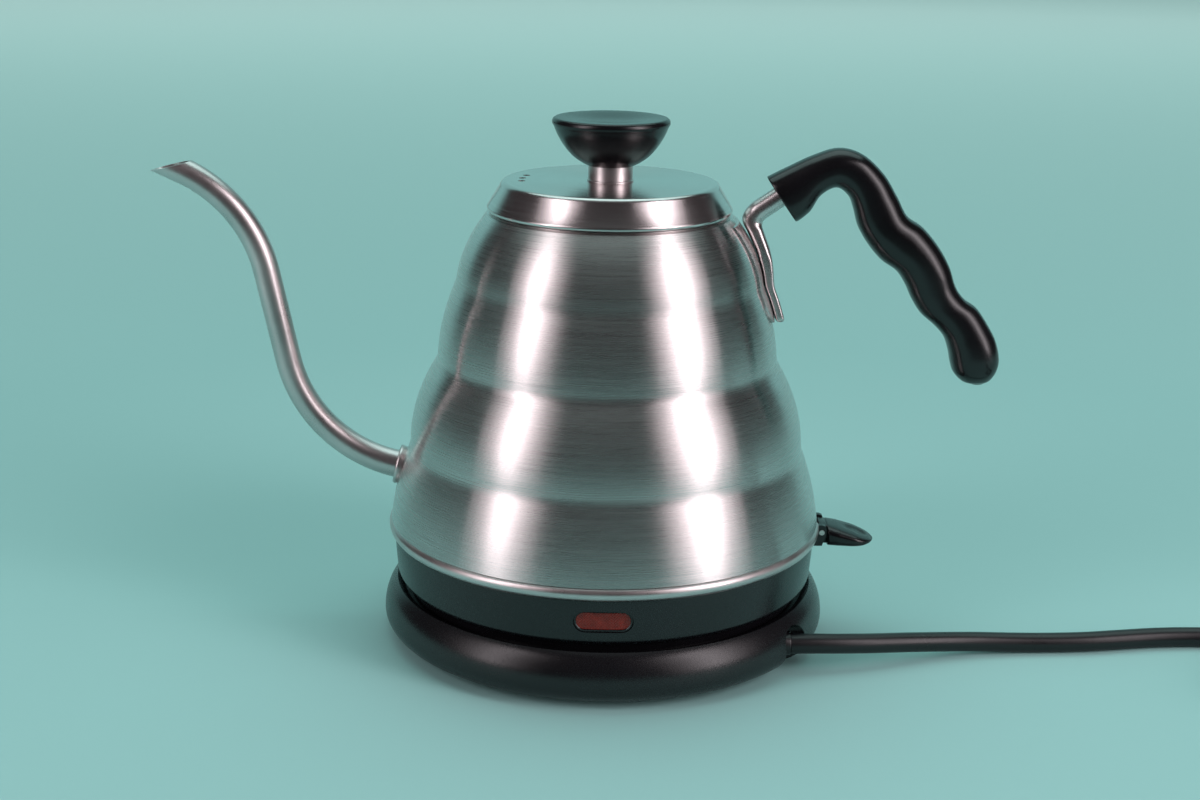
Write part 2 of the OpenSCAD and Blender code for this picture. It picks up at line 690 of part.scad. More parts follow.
module grip_solid() {
    ribs = smooth(grip_ribs, 2);
    points = [for (r = ribs)
        let (top = [r[0], 0, r[1]], low = [r[2], 0, r[3]], mid = (top + low) / 2,
            up = (top - low) / 2)
        for (j = [0 : grip_sides - 1]) let (a = 360 * j / grip_sides)
            mid + up * squared(cos(a), grip_square) - [0, r[4] * squared(sin(a), grip_square), 0]];
    polyhedron(points, tube_faces(len(ribs), grip_sides), convexity = 8);
}

module handle_grip() color(black) {
    difference() {
        grip_solid();
        along_x_z(ahead(rod_start, rod_heading, -0.3), rod_heading) rotate([0, 90, 0])
            cylinder(r = rod_r + 0.05, h = 40);
        handle_screw_place() {
            translate([0, 0, -3]) cylinder(r = 2.6, h = 6);
            cylinder(r = 1.3, h = 7);
        }
    }
}

// On the underside of the grip, square to the rod
module handle_screw_place() {
    translate([62.5, 0, 141.2]) rotate([0, rod_heading - 250, 0]) children();
}

module handle_screw() color(steel) {
    handle_screw_place() translate([0, 0, 3]) screw(1.2, 2.8, 2.4, 1.4);
}

// ---------------------------------------------------------------- lid

lid_low = shoulder_z + gap;
lid_skin = 1;
vent_r = 1.15;

module lid_cover() color(steel) {
    top_r = 34.9;
    difference() {
        rotate_extrude() polygon(concat(
            [[lid_r - 1.2, lid_low], [lid_r - 0.3, lid_low], [lid_r, lid_low + 0.5],
                [lid_r, lid_low + 1.2], [lid_r - 0.5, lid_low + 1.8]],
            arc(top_r - 1.5, lid_z - 2.2, 1.9, 2.2, 20, 90, 6),
            [[0, lid_z], [0, lid_z - lid_skin], [top_r - 1.6, lid_z - lid_skin],
                [top_r - 0.6, lid_z - 2.2], [lid_r - 1.5, lid_low + 1.7]]));
        translate([0, 0, lid_z - 5]) cylinder(r = 2.1, h = 10);
        for (a = [163, 174.5, 186]) rotate(a) translate([28.3, 0, lid_z - 5])
            cylinder(r = vent_r, h = 10, $fn = 24);
    }
}

module lid_sleeve() color(steel) {
    outer = mouth_r - 0.5;
    top = lid_z - lid_skin;
    rotate_extrude() polygon([[outer - 0.8, 131], [outer, 131], [outer, top - 2.4], [outer - 1.6, top],
        [31, top], [31, top - 0.8], [outer - 2, top - 0.8], [outer - 0.8, top - 2.8]]);
}

collar_top = 156.2;
module knob_collar() color(steel) {
    rotate_extrude() polygon([[2.1, lid_z], [7.4, lid_z], [7.4, lid_z + 0.4], [7.1, lid_z + 0.8],
        [7.1, collar_top], [2.1, collar_top]]);
}

module lid_knob() color(black) {
    rotate_extrude() polygon(concat([[1.7, collar_top], [7.6, collar_top], [9.4, collar_top + 0.9]],
        [[12.2, 159.1], [14.8, 162], [17, 165.6], [18.2, 168.6]],
        arc(knob_r - 1.2, knob_z - 1.4, 1.2, 1.4, 0, 90, 5),
        [[12, knob_z - 0.7], [6, knob_z - 1], [0, knob_z - 1.1], [0, 166], [1.7, 166]]));
}

module knob_screw() color(steel) {
    translate([0, 0, lid_z - lid_skin]) screw(1.65, 13, 3.6, 1.6);
}

// ---------------------------------------------------------------- assembly

base_cover();
base_bottom();
foot_ring();
base_screws();
base_connector();
base_contacts();
base_leads();
cord_clamp();
clamp_screws();
cord_relief();
mains_cord();
cord_coil();
cord_tail();
cord_tie();
plug_relief();
plug_body();
plug_pins();
kettle_inlet();
inlet_contacts();
kettle_shell();
trim_ring();
spout();
spout_collar();
translate([0, 0, 37]) heater_plate();
translate([0, 0, 38.2]) heater_seal();
heating_element();
translate([0, 0, 35]) heat_spreader();
bottom_casing();
casing_screws();
translate([0, 0, 31.4]) control_unit();
translate([0, 0, 34.05]) bimetal_disc();
indicator_lens();
lens_frame();
indicator_lamp();
switch_bracket();
switch_pin();
switch_lever();
handle_plate();
handle_rod();
handle_grip();
handle_screw();
lid_cover();
lid_sleeve();
knob_collar();
lid_knob();
knob_screw();
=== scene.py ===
import json
import math

import bmesh
import bpy
from mathutils import Matrix, Vector


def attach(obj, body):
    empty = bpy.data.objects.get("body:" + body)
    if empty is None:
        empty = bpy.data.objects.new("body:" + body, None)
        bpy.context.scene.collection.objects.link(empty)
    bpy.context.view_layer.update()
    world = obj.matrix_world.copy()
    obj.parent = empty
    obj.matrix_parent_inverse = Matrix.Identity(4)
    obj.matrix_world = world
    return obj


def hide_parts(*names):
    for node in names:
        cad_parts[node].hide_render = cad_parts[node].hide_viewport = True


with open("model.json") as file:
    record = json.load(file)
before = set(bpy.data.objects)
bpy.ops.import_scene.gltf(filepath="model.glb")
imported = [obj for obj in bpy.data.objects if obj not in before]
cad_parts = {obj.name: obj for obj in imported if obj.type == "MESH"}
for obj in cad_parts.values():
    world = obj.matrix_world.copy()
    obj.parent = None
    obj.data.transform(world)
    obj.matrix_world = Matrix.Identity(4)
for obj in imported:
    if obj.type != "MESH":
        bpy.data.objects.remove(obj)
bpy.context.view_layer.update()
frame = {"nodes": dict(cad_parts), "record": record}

# Looks of the gooseneck kettle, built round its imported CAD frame.
# Shapes are given in millimetres, as in the CAD source, and become metres where a mesh is made.
MM = 0.001
WELD = 0.0001 * MM
RIGHT, BACK, UP = Vector((1, 0, 0)), Vector((0, 1, 0)), Vector((0, 0, 1))
scene = bpy.context.scene
scene.view_settings.view_transform = "Standard"


# ---------------------------------------------------------------- curves and outlines

def cosd(a):
    return math.cos(math.radians(a))


def sind(a):
    return math.sin(math.radians(a))


def squared(c, power):
    """Sine or cosine bent towards a rounded rectangle; power 1 leaves a circle."""
    return math.copysign(abs(c) ** power, c)


def ease(t):
    """Smooth step from 0 to 1."""
    t = min(1.0, max(0.0, t))
    return t * t * (3 - 2 * t)


def between(table, x):
    """Value at x on the straight lines through a table of (x, value) pairs."""
    for (x0, v0), (x1, v1) in zip(table, table[1:]):
        if x <= x1:
            return v0 + (v1 - v0) * max(0.0, x - x0) / (x1 - x0)
    return table[-1][1]


def smooth(points, steps):
    """Catmull-Rom curve through points, with steps pieces to each span."""
    points = [Vector(p) for p in points]
    curve = []
    for i in range(len(points) - 1):
        a, b = points[max(i - 1, 0)], points[i]
        c, d = points[i + 1], points[min(i + 2, len(points) - 1)]
        for s in range(steps):
            t = s / steps
            curve.append(0.5 * (2 * b + (c - a) * t + (2 * a - 5 * b + 4 * c - d) * t * t
                                + (3 * b - a - 3 * c + d) * t ** 3))
    return curve + [points[-1]]


ALMOST_HALF = 0.48


def rounded(corners, steps=5):
    """Closed outline with rounded corners; a corner is x, y and how far back its rounding starts."""
    outline = []
    for i, (x, y, reach) in enumerate(corners):
        p = Vector((x, y))
        if reach == 0:
            outline.append((x, y))
            continue
        before = Vector(corners[i - 1][:2]) - p
        after = Vector(corners[(i + 1) % len(corners)][:2]) - p
        back = before.normalized() * min(reach, before.length * ALMOST_HALF)
        ahead = after.normalized() * min(reach, after.length * ALMOST_HALF)
        for s in range(steps + 1):
            t = s / steps
            q = p + back * (1 - t) ** 2 + ahead * t ** 2
            outline.append((q.x, q.y))
    return outline


def ellipse_arc(cx, cy, rx, ry, start, end, steps):
    """Points along an ellipse, from one angle in degrees to another."""
    return [(cx + rx * cosd(start + (end - start) * i / steps),
             cy + ry * sind(start + (end - start) * i / steps)) for i in range(steps + 1)]


# ---------------------------------------------------------------- meshes

def make_piece(bm, name, slot, body, nodes=(), sharp=38, bevel=0.0, material=None):
    """Turns a bmesh into a piece that rides on a body and stands for CAD nodes."""
    bmesh.ops.remove_doubles(bm, verts=bm.verts, dist=WELD)
    bmesh.ops.recalc_face_normals(bm, faces=bm.faces)
    mesh = bpy.data.meshes.new(name)
    bm.to_mesh(mesh)
    bm.free()
    mesh.materials.append(material or MATERIALS[slot])
    piece = bpy.data.objects.new(name, mesh)
    scene.collection.objects.link(piece)
    if bevel:
        modifier = piece.modifiers.new("bevel", "BEVEL")
        modifier.width = bevel * MM
        modifier.segments = 3
        modifier.limit_method = "ANGLE"
        modifier.angle_limit = math.radians(sharp)
        apply_modifiers(piece)
    shade(piece.data, sharp)
    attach(piece, body)
    if nodes:
        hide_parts(*nodes)
    return piece


def apply_modifiers(piece):
    """Puts the mesh that a piece's modifiers make in place of its own."""
    graph = bpy.context.evaluated_depsgraph_get()
    graph.update()
    mesh = bpy.data.meshes.new_from_object(piece.evaluated_get(graph))
    piece.modifiers.clear()
    old = piece.data
    piece.data = mesh
    bpy.data.meshes.remove(old)


def shade(mesh, sharp):
    """Smooth shading, broken at edges that turn by more than sharp degrees."""
    bm = bmesh.new()
    bm.from_mesh(mesh)
    for face in bm.faces:
        face.smooth = True
    for edge in bm.edges:
        edge.smooth = edge.calc_face_angle(0) < math.radians(sharp)
    bm.to_mesh(mesh)
    bm.free()


def turned(outline, steps=192, arc=(0, 360)):
    """Body of revolution about Z from a closed outline of radius and height."""
    bm = bmesh.new()
    full = arc[1] - arc[0] == 360
    rings = []
    for i in range(steps if full else steps + 1):
        a = arc[0] + (arc[1] - arc[0]) * i / steps
        rings.append([bm.verts.new((r * cosd(a) * MM, r * sind(a) * MM, z * MM)) for r, z in outline])
    join_rings(bm, rings, around=full)
    if not full:
        bm.faces.new(rings[0])
        bm.faces.new(reversed(rings[-1]))
    bmesh.ops.remove_doubles(bm, verts=bm.verts, dist=WELD)
    return bm


def join_rings(bm, rings, around=False):
    """Faces from each ring to the next, and from the last to the first if the rings go around."""
    count = len(rings[0])
    for i in range(len(rings) - (0 if around else 1)):
        a, b = rings[i], rings[(i + 1) % len(rings)]
        for j in range(count):
            k = (j + 1) % count
            bm.faces.new((a[j], b[j], b[k], a[k]))


def lofted(sections, around=False, bm=None):
    """Closed tube through rings of points, capped at both ends unless it closes on itself."""
    bm = bm or bmesh.new()
    rings = [[bm.verts.new(p * MM) for p in section] for section in sections]
    join_rings(bm, rings, around)
    if not around:
        bm.faces.new(rings[0])
        bm.faces.new(reversed(rings[-1]))
    return bm


def slab(bm, front, back):
    """Faces of a closed slab between two grids of vertices."""
    rows, columns = len(front) - 1, len(front[0]) - 1
    for grid in (front, back):
        for i in range(rows):
            for j in range(columns):
                bm.faces.new((grid[i][j], grid[i][j + 1], grid[i + 1][j + 1], grid[i + 1][j]))
    for i in range(rows):
        for j in (0, columns):
            bm.faces.new((front[i][j], front[i + 1][j], back[i + 1][j], back[i][j]))
    for j in range(columns):
        for i in (0, rows):
            bm.faces.new((front[i][j], front[i][j + 1], back[i][j + 1], back[i][j]))


def circle(centre, radius, up, side, count):
    """Ring of points about a centre, starting on its upper side."""
    angles = [360 * j / count for j in range(count)]
    return [centre + radius * (up * cosd(a) + side * sind(a)) for a in angles]


def tube_sections(route, radius, sides):
    """Rings square to a route; each ring starts on the upper side."""
    sections = []
    for i, p in enumerate(route):
        along = (route[min(i + 1, len(route) - 1)] - route[max(i - 1, 0)]).normalized()
        side = UP.cross(along).normalized()
        up = along.cross(side)
        sections.append(circle(p, radius, up, side, sides))
    return sections


def prism(outline, low, high, axis="Z"):
    """Straight bar with a closed outline, from low to high along an axis."""
    place = {"X": lambda u, v, w: Vector((w, u, v)), "Y": lambda u, v, w: Vector((u, w, v)),
             "Z": lambda u, v, w: Vector((u, v, w))}[axis]
    return lofted([[place(u, v, w) for u, v in outline] for w in (low, high)])


def cylinder(centre, axis, radius, length, sides=48):
    """Cutter for a round hole."""
    turn = Vector(axis).to_track_quat("Z", "Y").to_matrix()
    x, y, z = turn.transposed()
    return lofted([circle(Vector(centre) + z * along, radius, x, y, sides) for along in (0, length)])


def cut(bm, *cutters):
    """The mesh less each cutter."""
    target = bpy.data.objects.new("cut", bpy.data.meshes.new("cut"))
    bmesh.ops.recalc_face_normals(bm, faces=bm.faces)
    bm.to_mesh(target.data)
    scene.collection.objects.link(target)
    tools = []
    for cutter in cutters:
        bmesh.ops.recalc_face_normals(cutter, faces=cutter.faces)
        tool = bpy.data.objects.new("tool", bpy.data.meshes.new("tool"))
        cutter.to_mesh(tool.data)
        cutter.free()
        scene.collection.objects.link(tool)
        modifier = target.modifiers.new("cut", "BOOLEAN")
        modifier.object = tool
        modifier.operation = "DIFFERENCE"
        modifier.solver = "EXACT"
        tools.append(tool)
    apply_modifiers(target)
    bm.clear()
    bm.from_mesh(target.data)
    for thing in tools + [target]:
        mesh = thing.data
        bpy.data.objects.remove(thing)
        bpy.data.meshes.remove(mesh)
    return bm


# ---------------------------------------------------------------- materials

def color_mix(tree):
    """Adds a node that mixes two colours; gives its factor, both colour inputs and its output."""
    mix = tree.nodes.new("ShaderNodeMix")
    mix.data_type = "RGBA"
    # Its colour sockets come after its float and vector ones
    low, high = [socket for socket in mix.inputs if socket.type == "RGBA"]
    out = [socket for socket in mix.outputs if socket.type == "RGBA"][0]
    return mix.inputs["Factor"], low, high, out


class Finish:
    """One material: a Principled shader with helpers for the nodes that feed it."""

    def __init__(self, name, color, roughness, **inputs):
        self.material = bpy.data.materials.new(name)
        self.material.use_nodes = True
        self.tree = self.material.node_tree
        self.shader = self.tree.nodes["Principled BSDF"]
        self.shader.inputs["Base Color"].default_value = (*color, 1)
        self.shader.inputs["Roughness"].default_value = roughness
        for socket, value in inputs.items():
            self.shader.inputs[socket.replace("_", " ")].default_value = value
        self.place = self.node("ShaderNodeTexCoord").outputs["Object"]
        self.height = None

    def node(self, kind, **settings):
        made = self.tree.nodes.new(kind)
        for name, value in settings.items():
            setattr(made, name, value)
        return made

    def put(self, socket, value):
        """Feeds a socket from another socket, or gives it a number or a colour."""
        if isinstance(value, bpy.types.NodeSocket):
            self.tree.links.new(value, socket)
        elif socket.type == "RGBA":
            socket.default_value = (*value, 1)
        else:
            socket.default_value = value

    def math(self, operation, a, b=0.0):
        made = self.node("ShaderNodeMath", operation=operation)
        self.put(made.inputs[0], a)
        self.put(made.inputs[1], b)
        return made.outputs[0]

    def stretched(self, x, y, z):
        """The place, scaled differently along each axis."""
        made = self.node("ShaderNodeVectorMath", operation="MULTIPLY")
        self.put(made.inputs[0], self.place)
        made.inputs[1].default_value = (x, y, z)
        return made.outputs[0]

    def ring_place(self, around, across):
        """A place whose noise runs in rings about Z: around is its scale along a ring."""
        split = self.node("ShaderNodeSeparateXYZ")
        self.put(split.inputs[0], self.place)
        x, y, z = split.outputs
        squares = self.math("ADD", self.math("MULTIPLY", x, x), self.math("MULTIPLY", y, y))
        radius = self.math("SQRT", squares)
        joined = self.node("ShaderNodeCombineXYZ")
        self.put(joined.inputs[0], self.math("MULTIPLY", x, around))
        self.put(joined.inputs[1], self.math("MULTIPLY", y, around))
        self.put(joined.inputs[2], self.math("MULTIPLY", self.math("SUBTRACT", z, radius), across))
        return joined.outputs[0]

    def noise(self, vector, scale=1.0, detail=2.0, roughness=0.5):
        made = self.node("ShaderNodeTexNoise")
        self.put(made.inputs["Vector"], vector)
        made.inputs["Scale"].default_value = scale
        made.inputs["Detail"].default_value = detail
        made.inputs["Roughness"].default_value = roughness
        return made.outputs["Fac"]

    def spread(self, value, low, high, start=0.3, end=0.7):
        """Maps a noise value from start..end to low..high."""
        made = self.node("ShaderNodeMapRange")
        self.put(made.inputs["Value"], value)
        for name, number in (("From Min", start), ("From Max", end), ("To Min", low), ("To Max", high)):
            made.inputs[name].default_value = number
        return made.outputs["Result"]

    def tint(self, value, low, high):
        """Colours the surface from low to high as a value goes from 0 to 1; a colour may be a socket."""
        factor, low_socket, high_socket, out = color_mix(self.tree)
        self.put(factor, value)
        self.put(low_socket, low)
        self.put(high_socket, high)
        self.put(self.shader.inputs["Base Color"], out)
        return out

    def rough(self, value):
        self.put(self.shader.inputs["Roughness"], value)

    def bump(self, height, distance, strength=1.0):
        made = self.node("ShaderNodeBump")
        made.inputs["Strength"].default_value = strength
        made.inputs["Distance"].default_value = distance
        self.put(made.inputs["Height"], height)
        if self.height is not None:
            self.put(made.inputs["Normal"], self.height)
        self.height = made.outputs["Normal"]
        self.put(self.shader.inputs["Normal"], self.height)


QUARTER_TURN = 0.25


def shade_of(color, share):
    """The colour made darker or lighter by a share."""
    return [min(1, c * share) for c in color]


def brushed_steel(name, color, rough_low, rough_high, anisotropy, grain):
    """Sheet steel brushed round the Z axis, with soft smudges and a fine grain."""
    finish = Finish(name, color, rough_low, Metallic=1.0, Anisotropic=anisotropy,
                    Anisotropic_Rotation=QUARTER_TURN)
    tangent = finish.node("ShaderNodeTangent", direction_type="RADIAL", axis="Z")
    finish.put(finish.shader.inputs["Tangent"], tangent.outputs[0])
    fine = finish.noise(finish.ring_place(30, 7000), detail=3)
    broad = finish.noise(finish.ring_place(22, 1300), detail=2)
    smudge = finish.noise(finish.place, scale=26, detail=3)
    rough = finish.math("ADD", finish.spread(fine, -0.045, 0.045),
                        finish.spread(smudge, rough_low, rough_high))
    finish.rough(finish.math("ADD", rough, finish.spread(broad, -0.015, 0.015)))
    streaks = finish.spread(finish.math("ADD", fine, broad), 0, 1, 0.8, 1.2)
    finish.tint(streaks, shade_of(color, 0.95), shade_of(color, 1.03))
    finish.bump(fine, grain)
    finish.bump(broad, grain * 0.15)
    return finish.material


def satin_steel(name, color, rough_low, rough_high):
    """Drawn or turned steel with faint handling marks."""
    finish = Finish(name, color, rough_low, Metallic=1.0)
    grain = finish.noise(finish.place, scale=2600, detail=2)
    smudge = finish.noise(finish.place, scale=60, detail=3)
    finish.rough(finish.math("ADD", finish.spread(grain, -0.03, 0.03),
                             finish.spread(smudge, rough_low, rough_high)))
    finish.tint(finish.spread(smudge, 0, 1), shade_of(color, 0.9), shade_of(color, 1.05))
    finish.bump(grain, 0.000008)
    finish.bump(smudge, 0.00004)
    return finish.material


def moulded(name, color, rough_low, rough_high, grain_scale, grain_depth, specular=0.5):
    """Moulded plastic or rubber: a fine surface texture with patches of handling shine."""
    finish = Finish(name, color, rough_low, Specular_IOR_Level=specular)
    grain = finish.noise(finish.place, scale=grain_scale, detail=3, roughness=0.6)
    patch = finish.noise(finish.place, scale=34, detail=4)
    finish.rough(finish.math("ADD", finish.spread(grain, -0.04, 0.04),
                             finish.spread(patch, rough_low, rough_high)))
    finish.tint(finish.spread(patch, 0, 1), shade_of(color, 0.8), shade_of(color, 1.3))
    finish.bump(grain, grain_depth)
    finish.bump(patch, 0.00006, 0.4)
    return finish.material


def plain_metal(name, color, rough_low, rough_high):
    """Stamped or drawn metal with short scratches along X."""
    finish = Finish(name, color, rough_low, Metallic=1.0)
    patch = finish.noise(finish.place, scale=180, detail=3)
    scratch = finish.noise(finish.stretched(300, 2600, 2600), detail=2)
    finish.rough(finish.spread(patch, rough_low, rough_high))
    finish.tint(finish.spread(patch, 0, 1), shade_of(color, 0.8), shade_of(color, 1.08))
    finish.bump(scratch, 0.000006)
    return finish.material


def clear_red(name, color):
    """Glossy red window or lamp; the window's prism pattern is part of its mesh."""
    finish = Finish(name, color, 0.2, Specular_IOR_Level=0.4, Coat_Weight=0.15, Coat_Roughness=0.1)
    patch = finish.noise(finish.place, scale=500, detail=2)
    finish.tint(finish.spread(patch, 0, 1), shade_of(color, 0.75), shade_of(color, 1.25))
    finish.rough(finish.spread(patch, 0.14, 0.26))
    return finish.material


STEEL = (0.65, 0.605, 0.60)
MATERIALS = {name: make(name, *values) for make, name, *values in (
    (brushed_steel, "body_steel", STEEL, 0.26, 0.29, 1.0, 0.000004),
    (satin_steel, "polished_steel", (0.60, 0.555, 0.55), 0.28, 0.36),
    (satin_steel, "handle_steel", (0.60, 0.56, 0.555), 0.24, 0.32),
    (satin_steel, "inner_steel", (0.55, 0.54, 0.52), 0.28, 0.38),
    (satin_steel, "screw_steel", (0.62, 0.62, 0.62), 0.14, 0.24),
    (moulded, "black_phenolic", (0.003, 0.003, 0.0038), 0.19, 0.24, 1500, 0.00001),
    (moulded, "black_plastic", (0.0035, 0.0035, 0.0045), 0.23, 0.28, 2400, 0.00002),
    (moulded, "inner_plastic", (0.022, 0.023, 0.025), 0.45, 0.55, 1800, 0.00004),
    (moulded, "thermostat_plastic", (0.66, 0.62, 0.52), 0.45, 0.55, 1800, 0.00003),
    (moulded, "foot_rubber", (0.02, 0.02, 0.02), 0.62, 0.74, 1400, 0.00006, 0.3),
    (moulded, "cord_rubber", (0.004, 0.004, 0.005), 0.29, 0.36, 1100, 0.00002, 0.45),
    (moulded, "tie_plastic", (0.03, 0.03, 0.032), 0.5, 0.6, 1600, 0.00004),
    (moulded, "lead_rubber", (0.16, 0.10, 0.04), 0.4, 0.5, 1500, 0.00002),
    (moulded, "seal_silicone", (0.52, 0.52, 0.49), 0.5, 0.62, 1300, 0.00003, 0.35),
    (plain_metal, "contact_brass", (0.66, 0.46, 0.18), 0.22, 0.38),
    (plain_metal, "element_metal", (0.26, 0.25, 0.24), 0.38, 0.55),
    (plain_metal, "spreader_aluminium", (0.60, 0.60, 0.60), 0.3, 0.42),
    (clear_red, "lens_red", (0.13, 0.011, 0.006)),
    (clear_red, "lamp_glass", (0.55, 0.22, 0.09)),
)}


def finish_cad_nodes():
    """Gives each CAD node that still shows the material of its slot."""
    for row in frame["record"]["subparts"]:
        node = frame["nodes"][row["node"]]
        for held in node.material_slots:
            held.material = MATERIALS[row["material_slot"]]


# ---------------------------------------------------------------- camera

CAMERA_SENSOR = 36
CAMERA_LENS = 55.65
CAMERA_PLACE = (-0.00212, -0.588, 0.2465)
CAMERA_TILT = 74.03
CAMERA_ROLL = 0.96


def make_camera():
    data = bpy.data.cameras.new("camera")
    data.sensor_width = CAMERA_SENSOR
    data.lens = CAMERA_LENS
    camera = bpy.data.objects.new("camera", data)
    scene.collection.objects.link(camera)
    camera.matrix_world = (Matrix.Translation(CAMERA_PLACE)
                           @ Matrix.Rotation(math.radians(CAMERA_TILT), 4, "X")
                           @ Matrix.Rotation(math.radians(CAMERA_ROLL), 4, "Z"))
    scene.camera = camera


make_camera()


# ---------------------------------------------------------------- mains cord

CORD_R = 3.25
SHEATH_DIP = 0.008
CORD_ROUTE = [(60, -39, 9.4), (68, -38.3, 9.3), (77, -36.8, 8.8), (87, -34, 7.9), (98, -30, 6.7),
              (110, -26, 5.4), (122, -22.8, 4.3), (135, -21, 3.5), (148, -20, 3.25),
              (160, -18.8, 3.25), (172, -16.6, 3.25), (184, -14.4, 3.25), (195, -13.4, 3.25),
              (205, -13.4, 3.25), (215, -13.9, 3.25), (227, -14.4, 3.25)]
COIL_CENTRE = (239, -56.8)
COIL_OUTER_R = 42.05
COIL_PITCH = 6.6
COIL_TURNS = 2.18
COIL_POINTS = 28
TAIL_ROUTE = [(264, -45, 3.25), (265.8, -50.6, 4.2), (266.8, -57, 6.2), (267.6, -64, 8.6),
              (268.2, -72, 9.95), (268.8, -82, 10.1), (269, -91, 9.7), (269, -99, 7.6),
              (269, -107, 5), (269, -115, 4)]
PLUG = Vector((269, -115, 4))
PLUG_RELIEF_L = 24
BLADE_X, BLADE_T, BLADE_LOW, BLADE_HIGH = 6.35, 1.5, 13.8, 20.1
EARTH_PIN_Z = 6.8


def coil_route():
    """The turns of the coil, clockwise from its far side and closing inwards."""
    count = round(COIL_TURNS * COIL_POINTS)
    route = []
    for i in range(count):
        turn = COIL_TURNS * i / count
        r = COIL_OUTER_R - COIL_PITCH * turn
        route.append(Vector((COIL_CENTRE[0] + r * cosd(90 - 360 * turn),
                             COIL_CENTRE[1] + r * sind(90 - 360 * turn), CORD_R)))
    return route


def make_cord():
    route = smooth([Vector(p) for p in CORD_ROUTE] + coil_route() + [Vector(p) for p in TAIL_ROUTE], 3)
    # The cord is not quite round: its three cores press through the sheath and wind slowly along it
    sections = []
    sides = 20
    for i, (centre, ring) in enumerate(zip(route, tube_sections(route, CORD_R, sides))):
        sections.append([centre + (p - centre) * (1 - SHEATH_DIP * (1 - cosd(3 * 360 / sides * j + 9 * i)))
                         for j, p in enumerate(ring)])
    cord = make_piece(lofted(sections), "cord", "cord_rubber", "base",
                      ["mains_cord", "cord_coil", "cord_tail"])
    return cord, [p * MM for p in route]


def make_plug():
    """Moulded plug with a ribbed strain relief, and its three pins."""
    relief = []
    for i in range(49):
        t = i / 48
        rib = 0.30 * (0.5 - 0.5 * cosd(360 * 7 * t)) * (1 if t < 0.88 else 0.2)
        r = 3.5 + 0.55 * t - rib
        relief.append(circle(PLUG - Vector((0, PLUG_RELIEF_L * t, 0)), r, UP, RIGHT, 24))
    relief = make_piece(lofted(relief), "plug_strain_relief", "cord_rubber", "base", ["plug_relief"])

    # Half width, bottom and top along the body, from the relief to the face with the pins
    form = [(0, 4.4, 0, 8.2), (0.5, 5.2, 0, 8.8), (3, 7.6, 0, 11.6), (8, 10, 0, 16), (14, 11.6, 0, 20.4),
            (20, 12.3, 0, 22.8), (25, 12.5, 0, 23.9), (28, 12.4, 0, 23.9), (29.6, 12.1, 0.2, 23.5),
            (30, 11.4, 0.9, 22.8)]
    sections = []
    for back, w, low, high in form:
        centre = Vector((PLUG.x, PLUG.y - PLUG_RELIEF_L - back, (low + high) / 2))
        sections.append([centre + Vector((w * squared(sind(7.5 * j), 0.55), 0,
                                          (high - low) / 2 * squared(cosd(7.5 * j), 0.55)))
                         for j in range(48)])
    body = make_piece(lofted(sections), "plug_moulding", "cord_rubber", "base", ["plug_body"], sharp=50)

    face = PLUG.y - PLUG_RELIEF_L - form[-1][0]
    pins = bmesh.new()
    for x in (PLUG.x - BLADE_X, PLUG.x + BLADE_X):
        left, right = x - BLADE_T / 2, x + BLADE_T / 2
        blade = rounded([(left, BLADE_LOW, 0.2), (right, BLADE_LOW, 0.2),
                         (right, BLADE_HIGH, 0.2), (left, BLADE_HIGH, 0.2)], 2)
        middle = Vector((x, 0, (BLADE_LOW + BLADE_HIGH) / 2))
        lofted([[middle * (1 - k) + Vector((u, 0, v)) * k + Vector((0, y, 0)) for u, v in blade]
                for y, k in ((face - 16, 0.8), (face - 15.2, 1), (face + 0.5, 1))], bm=pins)
    lofted([circle(Vector((PLUG.x, y, EARTH_PIN_Z)), r, UP, RIGHT, 24)
            for y, r in ((face - 18, 1.2), (face - 17, 2), (face - 15.6, 2.4), (face + 0.5, 2.4))], bm=pins)
    pins = make_piece(pins, "plug_blades", "contact_brass", "base", ["plug_pins"])
    return [relief, body, pins]


def make_tie():
    """Flat tie round the turns at the near side of the coil."""
    y = COIL_CENTRE[1] - (COIL_OUTER_R - COIL_PITCH)
    w, h = 6.75, 3.5
    outer = rounded([(y - w, 0, 2.6), (y + w, 0, 2.6), (y + w, 2 * h, 2.6), (y - w, 2 * h, 2.6)], 5)
    inner = [(y + (u - y) * 0.93, h + (v - h) * 0.88) for u, v in outer]
    x = COIL_CENTRE[0]
    loop = [[Vector((x + dx, u, v)) for u, v in side] for dx, side in
            ((-3, inner), (-3, outer), (3, outer), (3, inner))]
    return make_piece(lofted(loop, around=True), "coil_tie", "tie_plastic", "base", ["cord_tie"], bevel=0.2)


cord, cord_path = make_cord()
plug_pieces = make_plug()
plug_pieces + [make_tie()]


# ---------------------------------------------------------------- power base

BASE_H = 18.4
DISH_Z = 16
SKIN = 2.2
CONNECTOR_HOLE_R = 16
CONNECTOR_RIM_R = 21.4
EXIT_Y, EXIT_Z = CORD_ROUTE[0][1:]


